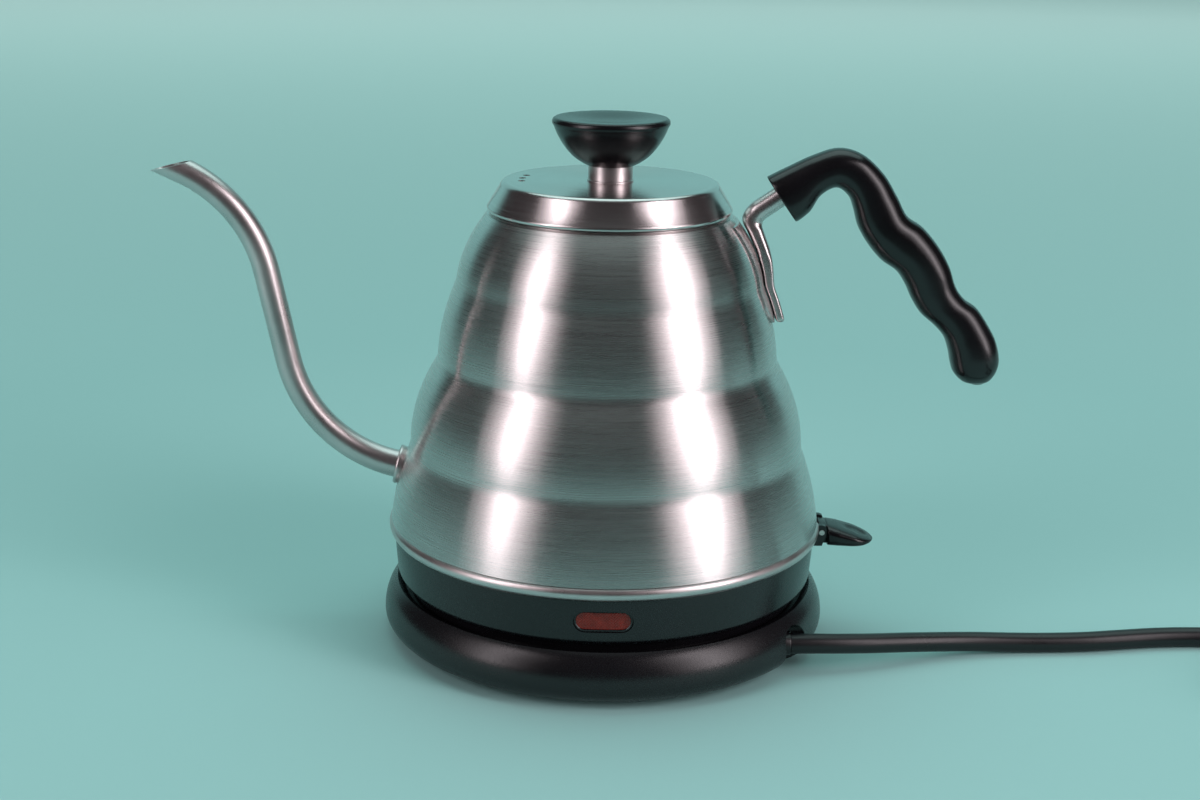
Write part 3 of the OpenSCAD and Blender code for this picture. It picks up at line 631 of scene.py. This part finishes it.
def base_outline():
    cx, cz, rx, up, down = 64.5, 8, 8.9, 12.2, 6.8
    top = math.degrees(math.asin((BASE_H - cz) / up))
    lip = cx + rx * cosd(top)
    outside = ellipse_arc(cx, cz, rx, down, -80, 0, 14) + ellipse_arc(cx, cz, rx, up, 4, top, 16)
    dish = rounded([(lip - 1, BASE_H + 0.2, 0.9), (67.2, DISH_Z + 0.6, 0.5), (66.4, DISH_Z, 0.6),
                    (CONNECTOR_RIM_R, DISH_Z, 0.6), (CONNECTOR_RIM_R, DISH_Z + 2, 0.4),
                    (CONNECTOR_HOLE_R, DISH_Z + 2, 0.4), (CONNECTOR_HOLE_R, DISH_Z - SKIN, 0),
                    (64.2, DISH_Z - SKIN, 0), (66.4, DISH_Z - SKIN - 0.6, 0)], 4)
    inside = ellipse_arc(cx, cz, rx - SKIN, down - SKIN, 30, -70, 8)
    return outside + dish + inside + [(64, 1.4)]


def notch_cutter():
    """Arched slot that the cord leaves through."""
    half = 5.5
    arch = [(-half, -2), (half, -2)] + ellipse_arc(0, 10, half, half, 0, 180, 20)
    return prism([(EXIT_Y + y, z) for y, z in arch], 55, 82, "X")


def make_base():
    cover = cut(turned(base_outline(), 256), notch_cutter())
    make_piece(cover, "base_moulding", "black_plastic", "base", ["base_cover"], sharp=34)
    relief = [(34, 4.3), (39, 4.3), (39.4, 3.7), (41, 3.7), (41.4, 4.2), (45, 4.1), (45.4, 3.6), (47, 3.6),
              (47.4, 4), (51, 3.9), (51.4, 3.5), (53, 3.5), (53.4, 3.8), (59.4, 3.62), (60, 3.4)]
    sections = [circle(Vector((x, EXIT_Y, EXIT_Z)), r, UP, BACK, 24) for x, r in relief]
    make_piece(lofted(sections), "cord_strain_relief", "cord_rubber", "base", ["cord_relief"])
    post = DISH_Z + 11
    plug = rounded([(3.2, post, 0.4), (3.2, DISH_Z - 6, 0), (20.8, DISH_Z - 6, 0),
                    (20.8, DISH_Z - SKIN - 0.1, 0), (15.9, DISH_Z - SKIN - 0.1, 0),
                    (15.9, DISH_Z + 1.4, 0.3), (14, DISH_Z + 1.8, 0.4), (14, post - 1, 0.8),
                    (13, post, 0.5), (10, post, 0.3), (10, DISH_Z + 2, 0), (7, DISH_Z + 2, 0),
                    (7, post, 0.4)])
    make_piece(turned(plug, 96), "power_connector", "inner_plastic", "base", ["base_connector"])


make_base()


# ---------------------------------------------------------------- kettle body

BODY_Z = 39.7
SHOULDER_Z = 141.4
WALL = 1.2
MOUTH_R, MOUTH_LOW = 35.2, 136.4
FLOOR_HOLE_R = 64.6
CREASE_Z = [BODY_Z, 64.2, 93.1, 118.4, SHOULDER_Z]
CREASE_R = [70.8, 64.4, 55.3, 49.3, 38.8]
TIER_BULGE = [0.95, 2.4, 1.3, 2.0]
CREASE_BLEND = 1.5


def body_radius(z):
    k = max(0, min(3, sum(z >= c for c in CREASE_Z[1:])))
    t = (z - CREASE_Z[k]) / (CREASE_Z[k + 1] - CREASE_Z[k])
    return CREASE_R[k] + (CREASE_R[k + 1] - CREASE_R[k]) * t + 4 * TIER_BULGE[k] * t * (1 - t)


def soft_radius(z):
    """Radius of the body with its creases eased, as pressing and brushing leave them."""
    reach = min(CREASE_BLEND, z - BODY_Z, SHOULDER_Z - z)
    if reach <= 0:
        return body_radius(z)
    steps = 8
    return sum(body_radius(z + reach * (2 * i / steps - 1)) for i in range(steps + 1)) / (steps + 1)


BODY_HEIGHTS = [BODY_Z + (SHOULDER_Z - BODY_Z) * i / 150 for i in range(151)]

SPOUT_HEADING = 167
SPOUT_START = Vector((-62, 0, 53.4))
SPOUT_R = 4.25
SPOUT_BORE = 3.5
SPOUT_FLARE = 0.4
SPOUT_BEND_R = 46
SPOUT_TIP = Vector((-146.6, 151.9))
TIP_SLANT = 14.3
# The flare ends with the lower bend
FLARE_STATIONS = 32


def direction(heading):
    return Vector((cosd(heading), 0, sind(heading)))


def make_shell():
    outside = [(soft_radius(z), z) for z in BODY_HEIGHTS]
    inside = [(soft_radius(z) - WALL, z) for z in BODY_HEIGHTS[::3] if BODY_Z + 2 < z < SHOULDER_Z - 2]
    mouth = rounded([(CREASE_R[-1], SHOULDER_Z, 0.8), (MOUTH_R, SHOULDER_Z, 0.7), (MOUTH_R, MOUTH_LOW, 0.3),
                     (MOUTH_R + WALL, MOUTH_LOW, 0.3), (MOUTH_R + WALL, SHOULDER_Z - WALL, 0.5)], 5)
    outline = ([(FLOOR_HOLE_R, BODY_Z - 0.1), (70.4, BODY_Z - 0.1)] + outside[:-1] + mouth
               + inside[::-1] + [(FLOOR_HOLE_R, BODY_Z + WALL)])
    bore = cylinder(SPOUT_START, direction(SPOUT_HEADING), SPOUT_R + SPOUT_FLARE, 16)
    make_piece(cut(turned(outline, 256), bore), "steel_body", "body_steel", "kettle",
               ["kettle_shell"], sharp=30)


BEAD_GAP_HALF_W, BEAD_GAP_R = 6.8, 70


def make_trim():
    """Bead between the steel body and the black casing, open where the switch bracket stands."""
    half = math.degrees(math.asin(BEAD_GAP_HALF_W / BEAD_GAP_R))
    outline = [(69.1, 35.5)] + ellipse_arc(69.9, 37.55, 1.7, 2.05, -90, 90, 22) + [(69.1, 39.6)]
    make_piece(turned(outline, 320, (half, 360 - half)), "steel_bead", "polished_steel", "kettle",
               ["trim_ring"], sharp=50)


def spout_stations():
    """Points and headings along the spout's centre line."""
    p, heading = SPOUT_START.copy(), SPOUT_HEADING
    stations = [(p.copy(), heading)]
    for length, angle, steps in ((8, 0, 2), (0, -65, 30), (30, 0, 6), (0, 54, 26), (20, 0, 5)):
        step = angle / steps
        advance = length / steps if length else 2 * SPOUT_BEND_R * abs(sind(step / 2))
        for _ in range(steps):
            p = p + direction(heading + step / 2) * advance
            heading += step
            stations.append((p.copy(), heading))
    return stations


def make_spout():
    stations = spout_stations()

    def rings(size):
        """Rings along the spout, wider at its root."""
        made = []
        for i, (p, heading) in enumerate(stations):
            up = direction(heading - 90) * -1
            r = size + SPOUT_FLARE * max(0, 1 - i / FLARE_STATIONS) ** 2
            made.append(circle(p, r, up, -BACK, 64))
        return made

    tube = lofted(rings(SPOUT_R) + rings(SPOUT_BORE)[::-1], around=True)
    # The tip is cut on a long slant
    along = Vector((cosd(TIP_SLANT), sind(TIP_SLANT)))
    corners = ((-30, 0), (40, 0), (40, 30), (-30, 30))
    slant = prism([SPOUT_TIP + along * a + along.orthogonal() * b for a, b in corners], -20, 20, "Y")
    make_piece(cut(tube, slant), "spout_tube", "polished_steel", "kettle", ["spout"], sharp=50)


def on_body(along, start):
    """How far along the line from start the body's surface lies."""
    near, far = 0.0, 14.0
    for _ in range(24):
        middle = (near + far) / 2
        q = start + along * middle
        if math.hypot(q.x, q.y) < soft_radius(q.z):
            near = middle
        else:
            far = middle
    return near


def make_collar():
    """Pressed washer round the spout's root, lying on the body."""
    along = direction(SPOUT_HEADING)
    up = Vector((-sind(SPOUT_HEADING), 0, cosd(SPOUT_HEADING)))
    front = 7.6
    # Radius, and how far behind the front face; None lies on the body
    profile = [(4.69, None), (6.2, None), (6.5, 0.9), (6.5, 0.55), (6.35, 0.2), (6.1, 0),
               (5.2, -0.05), (4.69, -0.1)]
    sections = []
    for r, back in profile:
        ring = []
        for start in circle(SPOUT_START, r, up, -BACK, 64):
            depth = on_body(along, start) if back is None else front - back
            ring.append(start + along * depth)
        sections.append(ring)
    make_piece(lofted(sections, around=True), "spout_washer", "polished_steel", "kettle",
               ["spout_collar"], sharp=45)


make_shell()
make_trim()
make_spout()
make_collar()


# ---------------------------------------------------------------- casing, lamp window and switch

CASING_TOP = 35.4
LENS_Z = 28.4
LENS_HALF_W = 8.65
LENS_HALF_H = 3.0


def stadium(grow, steps=14):
    """Outline of the lamp window in X and Z."""
    straight = LENS_HALF_W - LENS_HALF_H
    r = LENS_HALF_H + grow
    return ([(straight + x, LENS_Z + z) for x, z in ellipse_arc(0, 0, r, r, -90, 90, steps)]
            + [(-straight + x, LENS_Z + z) for x, z in ellipse_arc(0, 0, r, r, 90, 270, steps)])


def make_casing():
    outline = rounded([(20.5, 18.6, 0.4), (61.8, 18.6, 0.5), (62.2, 16.3, 0.5), (64.8, 16.3, 0.5),
                       (65.2, 20, 0.4), (66.8, 20.1, 0.8), (68.9, 21.6, 1.4), (69.5, 29, 0),
                       (69.9, CASING_TOP, 0.25), (67.4, CASING_TOP, 0.2), (66.6, 24, 0.5),
                       (65.4, 22.4, 0.5), (62, 20.8, 0.3), (20.5, 20.8, 0.3)], 5)
    window = prism(stadium(0.5), -80, -58, "Y")
    slot = prism([(-4.5, 29), (4.5, 29), (4.5, 36), (-4.5, 36)], 60, 73, "X")
    make_piece(cut(turned(outline, 256), window, slot), "casing_moulding", "black_plastic", "kettle",
               ["bottom_casing"], sharp=34)


def make_lens():
    """Red window: a curved stadium whose face is cut into small crossed prisms."""
    rows, columns, face_r, back_r, pitch, depth = 56, 168, 68.5, 66.2, 0.95, 0.16
    half_h = LENS_HALF_H - 0.35

    def ridge(v):
        """Saw-tooth wave from 0 to 1."""
        return abs(v / pitch - math.floor(v / pitch) - 0.5) * 2

    bm = bmesh.new()
    front, back = [], []
    for i in range(rows + 1):
        z = half_h * -cosd(180 * i / rows)
        half = LENS_HALF_W - LENS_HALF_H + math.sqrt(max(0, half_h ** 2 - z * z))
        front.append([])
        back.append([])
        for j in range(columns + 1):
            x = half * (2 * j / columns - 1)
            border = min(j, columns - j, i * 2, (rows - i) * 2) / 4
            cut_in = depth * (ridge(x + z) + ridge(x - z)) / 2 * ease(border)
            r = face_r - cut_in
            front[-1].append(bm.verts.new((x * MM, -math.sqrt(r * r - x * x) * MM, (LENS_Z + z) * MM)))
            back[-1].append(bm.verts.new((x * MM, -math.sqrt(back_r ** 2 - x * x) * MM, (LENS_Z + z) * MM)))
    slab(bm, front, back)
    make_piece(bm, "lamp_window", "lens_red", "kettle", ["indicator_lens"], sharp=25)

    loops = []
    for grow, r in ((0.45, 66.2), (0.45, 68.6), (0.3, 68.8), (-0.1, 68.8), (-0.3, 68.6), (-0.3, 66.2)):
        loops.append([Vector((x, -math.sqrt(r * r - x * x), z)) for x, z in stadium(grow, 24)])
    make_piece(lofted(loops, around=True), "lamp_window_rim", "black_plastic", "kettle",
               ["lens_frame"], sharp=45)


PADDLE_X = 74.5
PADDLE_TIP = 90.2
PADDLE_NOSE = 7.4
SWITCH_PIN = (72.4, 35.5)
# The recess: its middle, half length and half width, where its slope starts, and its depth
RECESS_X, RECESS_HALF_L, RECESS_HALF_W = 84.2, 3.6, 2.5
RECESS_EDGE, RECESS_DEPTH = 1.35, 0.4
RIB_PITCH, RIB_DEPTH = 0.9, 0.07
# X and Z along the paddle's upper and lower lines, and its half widths
PADDLE_TOP = [(74.5, 37.3), (78, 36.5), (81.2, 35.5), (84, 34.6), (86.4, 33.7), (88.6, 32.9), (90.2, 32.0)]
PADDLE_LOW = [(74.5, 30.4), (82, 30.5), (86, 30.7), (88.6, 31.1), (90.2, 31.7)]
PADDLE_HALF_W = [(74.5, 7.0), (78, 7.8), (82.8, 8)]


def make_switch():
    """Paddle of the switch, with a shallow ribbed recess on top, and its neck on the pin."""
    sections = []
    nose = PADDLE_TIP - PADDLE_NOSE
    stations = [PADDLE_X, PADDLE_X + 0.12, PADDLE_X + 0.35]
    stations += [PADDLE_X + 0.7 + 0.35 * i for i in range(22)]
    stations += [nose + PADDLE_NOSE * sind(90 * i / 28) for i in range(1, 29)]
    for n, x in enumerate(stations):
        t = min(1, max(0, (x - nose) / PADDLE_NOSE))
        shrink = math.sqrt(max(0.0004, 1 - t * t))
        half_w = between(PADDLE_HALF_W, x) * shrink
        top, low = between(PADDLE_TOP, x), between(PADDLE_LOW, x)
        middle, half_h = (top + low) / 2, (top - low) / 2 * shrink ** 0.5
        edge = (0.965, 0.99, 1.0)[n] if n < 3 else 1.0
        ring = []
        for j in range(72):
            a = 5 * j
            y = half_w * edge * squared(sind(a), 0.62)
            z = middle + half_h * edge * squared(cosd(a), 0.62 if cosd(a) > 0 else 0.45)
            inset = ((x - RECESS_X) / RECESS_HALF_L) ** 2 + (y / RECESS_HALF_W) ** 2
            if cosd(a) > 0 and inset < RECESS_EDGE:
                z -= (RECESS_DEPTH * ease((RECESS_EDGE - inset) / 0.5)
                      - RIB_DEPTH * sind(360 * (x + z) / RIB_PITCH))
            ring.append(Vector((x, y, z)))
        sections.append(ring)
    make_piece(lofted(sections), "switch_paddle", "black_plastic", "switch", ["switch_lever"], sharp=50)
    neck = prism([(62, 31), (75.3, 31), (75.3, 36.9), (72, 37.6), (70.6, 36.8), (70.2, 34), (62, 33.4)],
                 -4.2, 4.2, "Y")
    pin_hole = cylinder((SWITCH_PIN[0], -10, SWITCH_PIN[1]), (0, 1, 0), 0.96, 20, 32)
    make_piece(cut(neck, pin_hole), "switch_neck", "black_plastic", "switch", bevel=0.25)


make_casing()
make_lens()
make_switch()


# ---------------------------------------------------------------- handle

PLATE_LOW, PLATE_HIGH, PLATE_HALF_W, PLATE_T, PLATE_ROUND = 107, 139, 13, 0.8, 7
ROD_R = 3.4
ROD_START = Vector((67.4, 0, 156))
ROD_HEADING = 215
ROD_STRAIGHT = 23.5
ROD_BEND_R = 6
ROD_TURN = 75
LEG_T, LEG_W, LEG_LOW, LEG_HIGH = 3.2, 9, 106.5, 130.5
LEG_SWELL, LEG_SWELL_LOW = 0.9, 116
LEG_GAP = 0.04
SCREW_SEAT = Vector((62.5, 0, 141.2))
SCREW_LEAN = ROD_HEADING - 180
# Along the grip: X and Z of its upper line, X and Z of its lower line, and its half width
GRIP_RIBS = [(49.9, 152.9, 59.2, 139.6, 6.8), (51, 153.6, 60.2, 139.2, 7.2), (57, 156.7, 64, 142.4, 7),
             (64, 160.1, 67.2, 147.6, 6.6), (72.3, 162.7, 72, 150.2, 6.6), (80, 160.8, 76, 147.6, 6.8),
             (87, 154.7, 77.8, 143.6, 7.2), (91.6, 147.6, 79.6, 137.8, 7.6), (95.2, 141.4, 83, 132.2, 8),
             (100.6, 137.6, 87.4, 127.2, 8), (106, 131.4, 92.6, 123.6, 7.8), (109.8, 125, 95.8, 119.2, 7.5),
             (112.2, 118.6, 98.2, 114.4, 7.2), (115.4, 114.4, 101.4, 109.7, 7),
             (119.6, 111.4, 106, 105.8, 7.2), (123.4, 106.2, 109.4, 102, 7.6),
             (126.4, 100.8, 111.2, 97.6, 8), (127.9, 95, 112.2, 93.4, 8), (127.4, 91, 113.4, 90, 7.2),
             (125.8, 88, 116.2, 87.2, 5), (124, 86.6, 119, 86.4, 2.6)]


def make_plate():
    """Thin plate that lies on the body under the handle's leg."""
    rows, columns = 72, 40
    layers = []
    bm = bmesh.new()
    for lift in (0.0, PLATE_T):
        grid = []
        for i in range(rows + 1):
            z = PLATE_LOW + (PLATE_HIGH - PLATE_LOW) * (i / rows) ** 1.15
            down = max(0, PLATE_LOW + PLATE_ROUND - z)
            half = PLATE_HALF_W - PLATE_ROUND + math.sqrt(PLATE_ROUND ** 2 - down ** 2)
            r = soft_radius(z) + lift
            row = []
            for j in range(columns + 1):
                y = half * (2 * j / columns - 1)
                row.append(bm.verts.new((math.sqrt(r * r - y * y) * MM, y * MM, z * MM)))
            grid.append(row)
        layers.append(grid)
    slab(bm, *layers)
    make_piece(bm, "handle_backing", "handle_steel", "kettle", ["handle_plate"], sharp=50, bevel=0.22)


def on_plate(z, depth):
    """Middle of the leg at a height, where its back lies on the plate."""
    return Vector((soft_radius(z) + PLATE_T + LEG_GAP + depth, 0, z))


def make_rod():
    """Round rod that bends down and lies on the plate as a flat leg."""
    # A station is its centre, heading, half depth, half width and the power that squares its section
    stations = [(ROD_START, ROD_HEADING, ROD_R, ROD_R, 1)]
    p1 = ROD_START + direction(ROD_HEADING) * ROD_STRAIGHT
    stations.append(((ROD_START + p1) / 2, ROD_HEADING, ROD_R, ROD_R, 1))
    leg_top_depth = LEG_T / 2 + LEG_SWELL
    steps = 20
    for i in range(steps + 1):
        h = ROD_HEADING + ROD_TURN * i / steps
        t = max(0, 2 * i / steps - 1)
        depth = ROD_R + (leg_top_depth - ROD_R) * ease(t)
        centre = p1 + ROD_BEND_R * (direction(ROD_HEADING + 90) - direction(h + 90))
        stations.append((centre + (ROD_R - depth) * direction(h + 90), h, depth, ROD_R + 0.6 * ease(t),
                         1 - 0.3 * ease(t)))
    count = 34
    for i in range(count + 1):
        z = LEG_HIGH + (LEG_LOW + 1.2 - LEG_HIGH) * i / count
        square = 0.7 - 0.25 * ease(i / 6)
        rise = max(0, (z - LEG_SWELL_LOW) / (LEG_HIGH - LEG_SWELL_LOW))
        depth = LEG_T / 2 + LEG_SWELL * rise ** 1.5
        stations.append((on_plate(z, depth), 270, depth, LEG_W / 2, square))
    for z, share in ((LEG_LOW + 0.7, 0.95), (LEG_LOW + 0.25, 0.8), (LEG_LOW, 0.5)):
        depth = LEG_T / 2
        stations.append((on_plate(z, depth), 270, depth * share, LEG_W / 2 - (1 - share) * depth, 0.45))
    sections = []
    for centre, h, depth, half_w, square in stations:
        out = direction(h + 90)
        sections.append([centre + out * depth * squared(cosd(7.5 * j), square)
                         - Vector((0, half_w * squared(sind(7.5 * j), square), 0)) for j in range(48)])
    make_piece(lofted(sections), "handle_bar", "handle_steel", "kettle", ["handle_rod"], sharp=60)


def make_grip():
    """Wavy phenolic grip with a fine parting ridge along each side."""
    ribs = smooth([Vector((a, b, 0)) for a, b, _, _, _ in GRIP_RIBS], 6)
    lows = smooth([Vector((c, d, 0)) for _, _, c, d, _ in GRIP_RIBS], 6)
    widths = smooth([Vector((w, 0, 0)) for *_, w in GRIP_RIBS], 6)
    sides = 72
    sections = []
    for n, (top, low, width) in enumerate(zip(ribs, lows, widths)):
        top, low = Vector((top.x, 0, top.y)), Vector((low.x, 0, low.y))
        middle, up = (top + low) / 2, (top - low) / 2
        # The front end has a small rounded edge
        share = (0.93, 0.975, 0.992)[n] if n < 3 else 1.0
        ring = []
        for j in range(sides):
            a = 360 * j / sides
            ridge = 1.008 if j in (sides * 5 // 14, sides - sides * 5 // 14) else 1.0
            ring.append(middle + (up * squared(cosd(a), 0.86)
                                  - Vector((0, width.x * squared(sind(a), 0.86), 0))) * share * ridge)
        sections.append(ring)
    last = sections[-1]
    centre = sum(last, Vector()) / len(last)
    for share, sink in ((0.8, 0.35), (0.45, 0.65), (0.12, 0.75)):
        sections.append([centre + (p - centre) * share - Vector((0, 0, sink)) for p in last])
    # The handle screw sits in a well in the front end's underside
    into = Vector((-sind(SCREW_LEAN), 0, cosd(SCREW_LEAN)))
    well = cylinder(SCREW_SEAT - 3 * into, into, 2.6, 6)
    make_piece(cut(lofted(sections), well), "handle_moulding", "black_phenolic", "kettle",
               ["handle_grip"], sharp=50)


make_plate()
make_rod()
make_grip()


# ---------------------------------------------------------------- lid

LID_LOW = 141.7
LID_Z = 151
LID_TOP_R = 34.9
KNOB_HOLE_R = 2.1
VENT_R, VENT_RING_R = 1.15, 28.3
VENT_ANGLES = (163, 174.5, 186)
COLLAR_TOP = 156.2
KNOB_R = 18.8
KNOB_Z = 171.2


def make_lid():
    """Lid with a rolled brim and three vents, the sleeve under it and the knob's ferrule."""
    brim = rounded([(38.1, LID_LOW, 0.2), (39.0, LID_LOW, 0.3), (39.3, LID_LOW + 0.5, 0.3),
                    (39.3, LID_LOW + 1.2, 0.3), (38.8, LID_LOW + 1.8, 0.3)], 4)[:-5]
    edge = ellipse_arc(LID_TOP_R - 1.5, LID_Z - 2.2, 1.9, 2.2, 20, 90, 12)
    inside = [(KNOB_HOLE_R, LID_Z), (KNOB_HOLE_R, LID_Z - 1), (LID_TOP_R - 1.6, LID_Z - 1),
              (LID_TOP_R - 0.6, LID_Z - 2.2), (37.8, LID_LOW + 1.7)]
    outline = brim + edge + inside
    vents = [cylinder((VENT_RING_R * cosd(a), VENT_RING_R * sind(a), LID_Z - 4), (0, 0, 1), VENT_R, 8, 32)
             for a in VENT_ANGLES]
    make_piece(cut(turned(outline, 256), *vents), "lid_pressing", "body_steel", "lid",
               ["lid_cover"], sharp=34, material=LID_STEEL)
    outer = 34.7
    sleeve = rounded([(outer - 0.8, 131, 0.2), (outer, 131, 0.2), (outer, 147.6, 0.5),
                      (outer - 1.6, 150, 0.5), (31, 150, 0.2), (31, 149.2, 0.2),
                      (outer - 2, 149.2, 0.4), (outer - 0.8, 147.2, 0.4)])
    make_piece(turned(sleeve, 160), "lid_skirt", "inner_steel", "lid", ["lid_sleeve"])
    collar = rounded([(KNOB_HOLE_R, LID_Z, 0), (7.4, LID_Z, 0.1), (7.4, LID_Z + 0.5, 0.2),
                      (7.1, LID_Z + 0.7, 0.1), (7.1, COLLAR_TOP, 0.25), (KNOB_HOLE_R, COLLAR_TOP, 0)])
    make_piece(turned(collar, 128), "knob_ferrule", "polished_steel", "lid", ["knob_collar"])


def make_knob():
    """Bowl-shaped knob with a rounded rim and a slightly dished top."""
    under = smooth([(7.6, COLLAR_TOP), (9.4, 157.1), (12.2, 159.1), (14.8, 162), (17, 165.6),
                    (18.25, 168.5)], 6)
    under = [(p.x, p.y) for p in under]
    rim = ellipse_arc(KNOB_R - 1.25, KNOB_Z - 1.5, 1.25, 1.5, -12, 90, 12)
    top = [(r, KNOB_Z - 1.1 + 1.1 * ease((r - 2) / 15.2)) for r in (17, 15.6, 14, 12, 10, 8, 6, 4, 2, 0)]
    outline = [(1.7, COLLAR_TOP)] + under + rim + top + [(0, 166), (1.7, 166)]
    make_piece(turned(outline, 192), "knob_moulding", "black_phenolic", "lid", ["lid_knob"], sharp=50)


LID_STEEL = brushed_steel("lid_steel", STEEL, 0.20, 0.23, 0.6, 0.0000007)
make_lid()
make_knob()
finish_cad_nodes()


# ---------------------------------------------------------------- stage

FLOOR_HALF = 30
PAPER_NEAR = (0.355, 0.635, 0.61)
# The far colour is painted light: the far paper is painted paler, as if more brightly lit
PAINTED_LIGHT_FAR = (0.78, 0.98, 0.95)
# Painted shade: the floor beside and before the paper is painted near black to stand for the unlit room
ROOM_PAINTED_SHADE = (0.03, 0.035, 0.035)


def make_floor():
    """Teal paper, painted paler with distance as painted light; in metres."""
    bm = bmesh.new()
    corners = ((-1, -1), (1, -1), (1, 1), (-1, 1))
    bm.faces.new([bm.verts.new((x * FLOOR_HALF, y * FLOOR_HALF, 0)) for x, y in corners])
    mesh = bpy.data.meshes.new("floor")
    bm.to_mesh(mesh)
    bm.free()
    finish = Finish("floor_paper", PAPER_NEAR, 0.75, Specular_IOR_Level=0.2)
    away = finish.node("ShaderNodeVectorMath", operation="LENGTH")
    finish.put(away.inputs[0], finish.place)
    # Painted light: the paper's colour is painted paler with distance from the kettle
    paper = finish.tint(finish.spread(away.outputs["Value"], 0, 1, 0.4, 3.0), PAPER_NEAR, PAINTED_LIGHT_FAR)
    # The paper is a strip; the room's floor beside and before it is painted near black as painted shade of
    # the dim room
    split = finish.node("ShaderNodeSeparateXYZ")
    finish.put(split.inputs[0], finish.place)
    beside = finish.spread(finish.math("ABSOLUTE", split.outputs["X"]), 0, 1, 1.5, 1.8)
    before = finish.spread(split.outputs["Y"], 0, 1, -0.28, -0.42)
    dim = finish.math("MULTIPLY", finish.math("MAXIMUM", beside, before), 0.9)
    finish.tint(dim, paper, ROOM_PAINTED_SHADE)
    finish.bump(finish.noise(finish.place, scale=900, detail=3), 0.00003)
    mesh.materials.append(finish.material)
    floor = bpy.data.objects.new("floor", mesh)
    scene.collection.objects.link(floor)


KETTLE_MIDDLE = (0, 0, 0.09)


def softbox(name, azimuth, elevation, distance, width, height, radiance, color,
            target=KETTLE_MIDDLE, spread=180):
    """Panel aimed at the kettle, or at another place; azimuth 0 is the camera's side."""
    target = Vector(target)
    out = Vector((sind(azimuth) * cosd(elevation), -cosd(azimuth) * cosd(elevation), sind(elevation)))
    data = bpy.data.lights.new(name, "AREA")
    data.shape = "RECTANGLE"
    data.size, data.size_y = width, height
    data.energy = radiance * math.pi * width * height
    data.color = color
    data.spread = math.radians(spread)
    light = bpy.data.objects.new(name, data)
    light.location = target + out * distance
    light.rotation_mode = "QUATERNION"
    light.rotation_quaternion = out.to_track_quat("Z", "Y")
    light.visible_camera = False
    scene.collection.objects.link(light)


ROOM = (0.040, 0.034, 0.036)
BACKDROP = (0.26, 0.54, 0.53)
CEILING = (0.35, 0.42, 0.42)


def make_world():
    """Pale teal backdrop, a dim studio on the camera's side and a soft light overhead."""
    world = bpy.data.worlds.new("studio")
    scene.world = world
    world.use_nodes = True
    tree = world.node_tree

    def ramp(value, start, end, color):
        """Goes over to a colour as a value goes from start to end; gives the first colour's socket too."""
        spread = tree.nodes.new("ShaderNodeMapRange")
        spread.interpolation_type = "SMOOTHSTEP"
        tree.links.new(value, spread.inputs["Value"])
        spread.inputs["From Min"].default_value = start
        spread.inputs["From Max"].default_value = end
        factor, low, high, out = color_mix(tree)
        tree.links.new(spread.outputs["Result"], factor)
        high.default_value = (*color, 1)
        return low, out

    place = tree.nodes.new("ShaderNodeTexCoord")
    split = tree.nodes.new("ShaderNodeSeparateXYZ")
    tree.links.new(place.outputs["Generated"], split.inputs[0])
    camera_side, walls = ramp(split.outputs["Y"], 0.58, 0.80, BACKDROP)
    camera_side.default_value = (*ROOM, 1)
    below, room = ramp(split.outputs["Z"], 0.86, 0.99, CEILING)
    tree.links.new(walls, below)
    tree.links.new(room, tree.nodes["Background"].inputs["Color"])


PANEL_COLOR = (1.0, 0.90, 0.94)
PANEL_AZIMUTH = 57
PANEL_ELEVATION = 23
PANEL_DISTANCE = 1.3
PANEL_HEIGHT = 1.15
# Each panel is brightest along its middle, as a lamp behind cloth makes it: width and radiance
PANEL_LAYERS = {"core": (0.24, 3.5), "lamp": (0.44, 1.95), "cloth": (0.70, 1.0), "edge": (1.0, 0.45)}


def make_lights():
    for layer, (width, radiance) in PANEL_LAYERS.items():
        for side, azimuth, wider, brighter in (("left_", -PANEL_AZIMUTH, 1, 1),
                                               ("right_", PANEL_AZIMUTH, 1.15, 1.4)):
            softbox(side + layer, azimuth, PANEL_ELEVATION, PANEL_DISTANCE, width * wider, PANEL_HEIGHT,
                    radiance * brighter, PANEL_COLOR)
    softbox("fill", 180, 72, 4.2, 6.0, 3.0, 1.4, (0.68, 1.0, 0.97))
    softbox("paper_light", 180, 88, 2.6, 5.0, 1.8, 0.36, (0.9, 1.0, 0.98), (0, 2.6, 0), 100)


make_floor()
make_world()
make_lights()
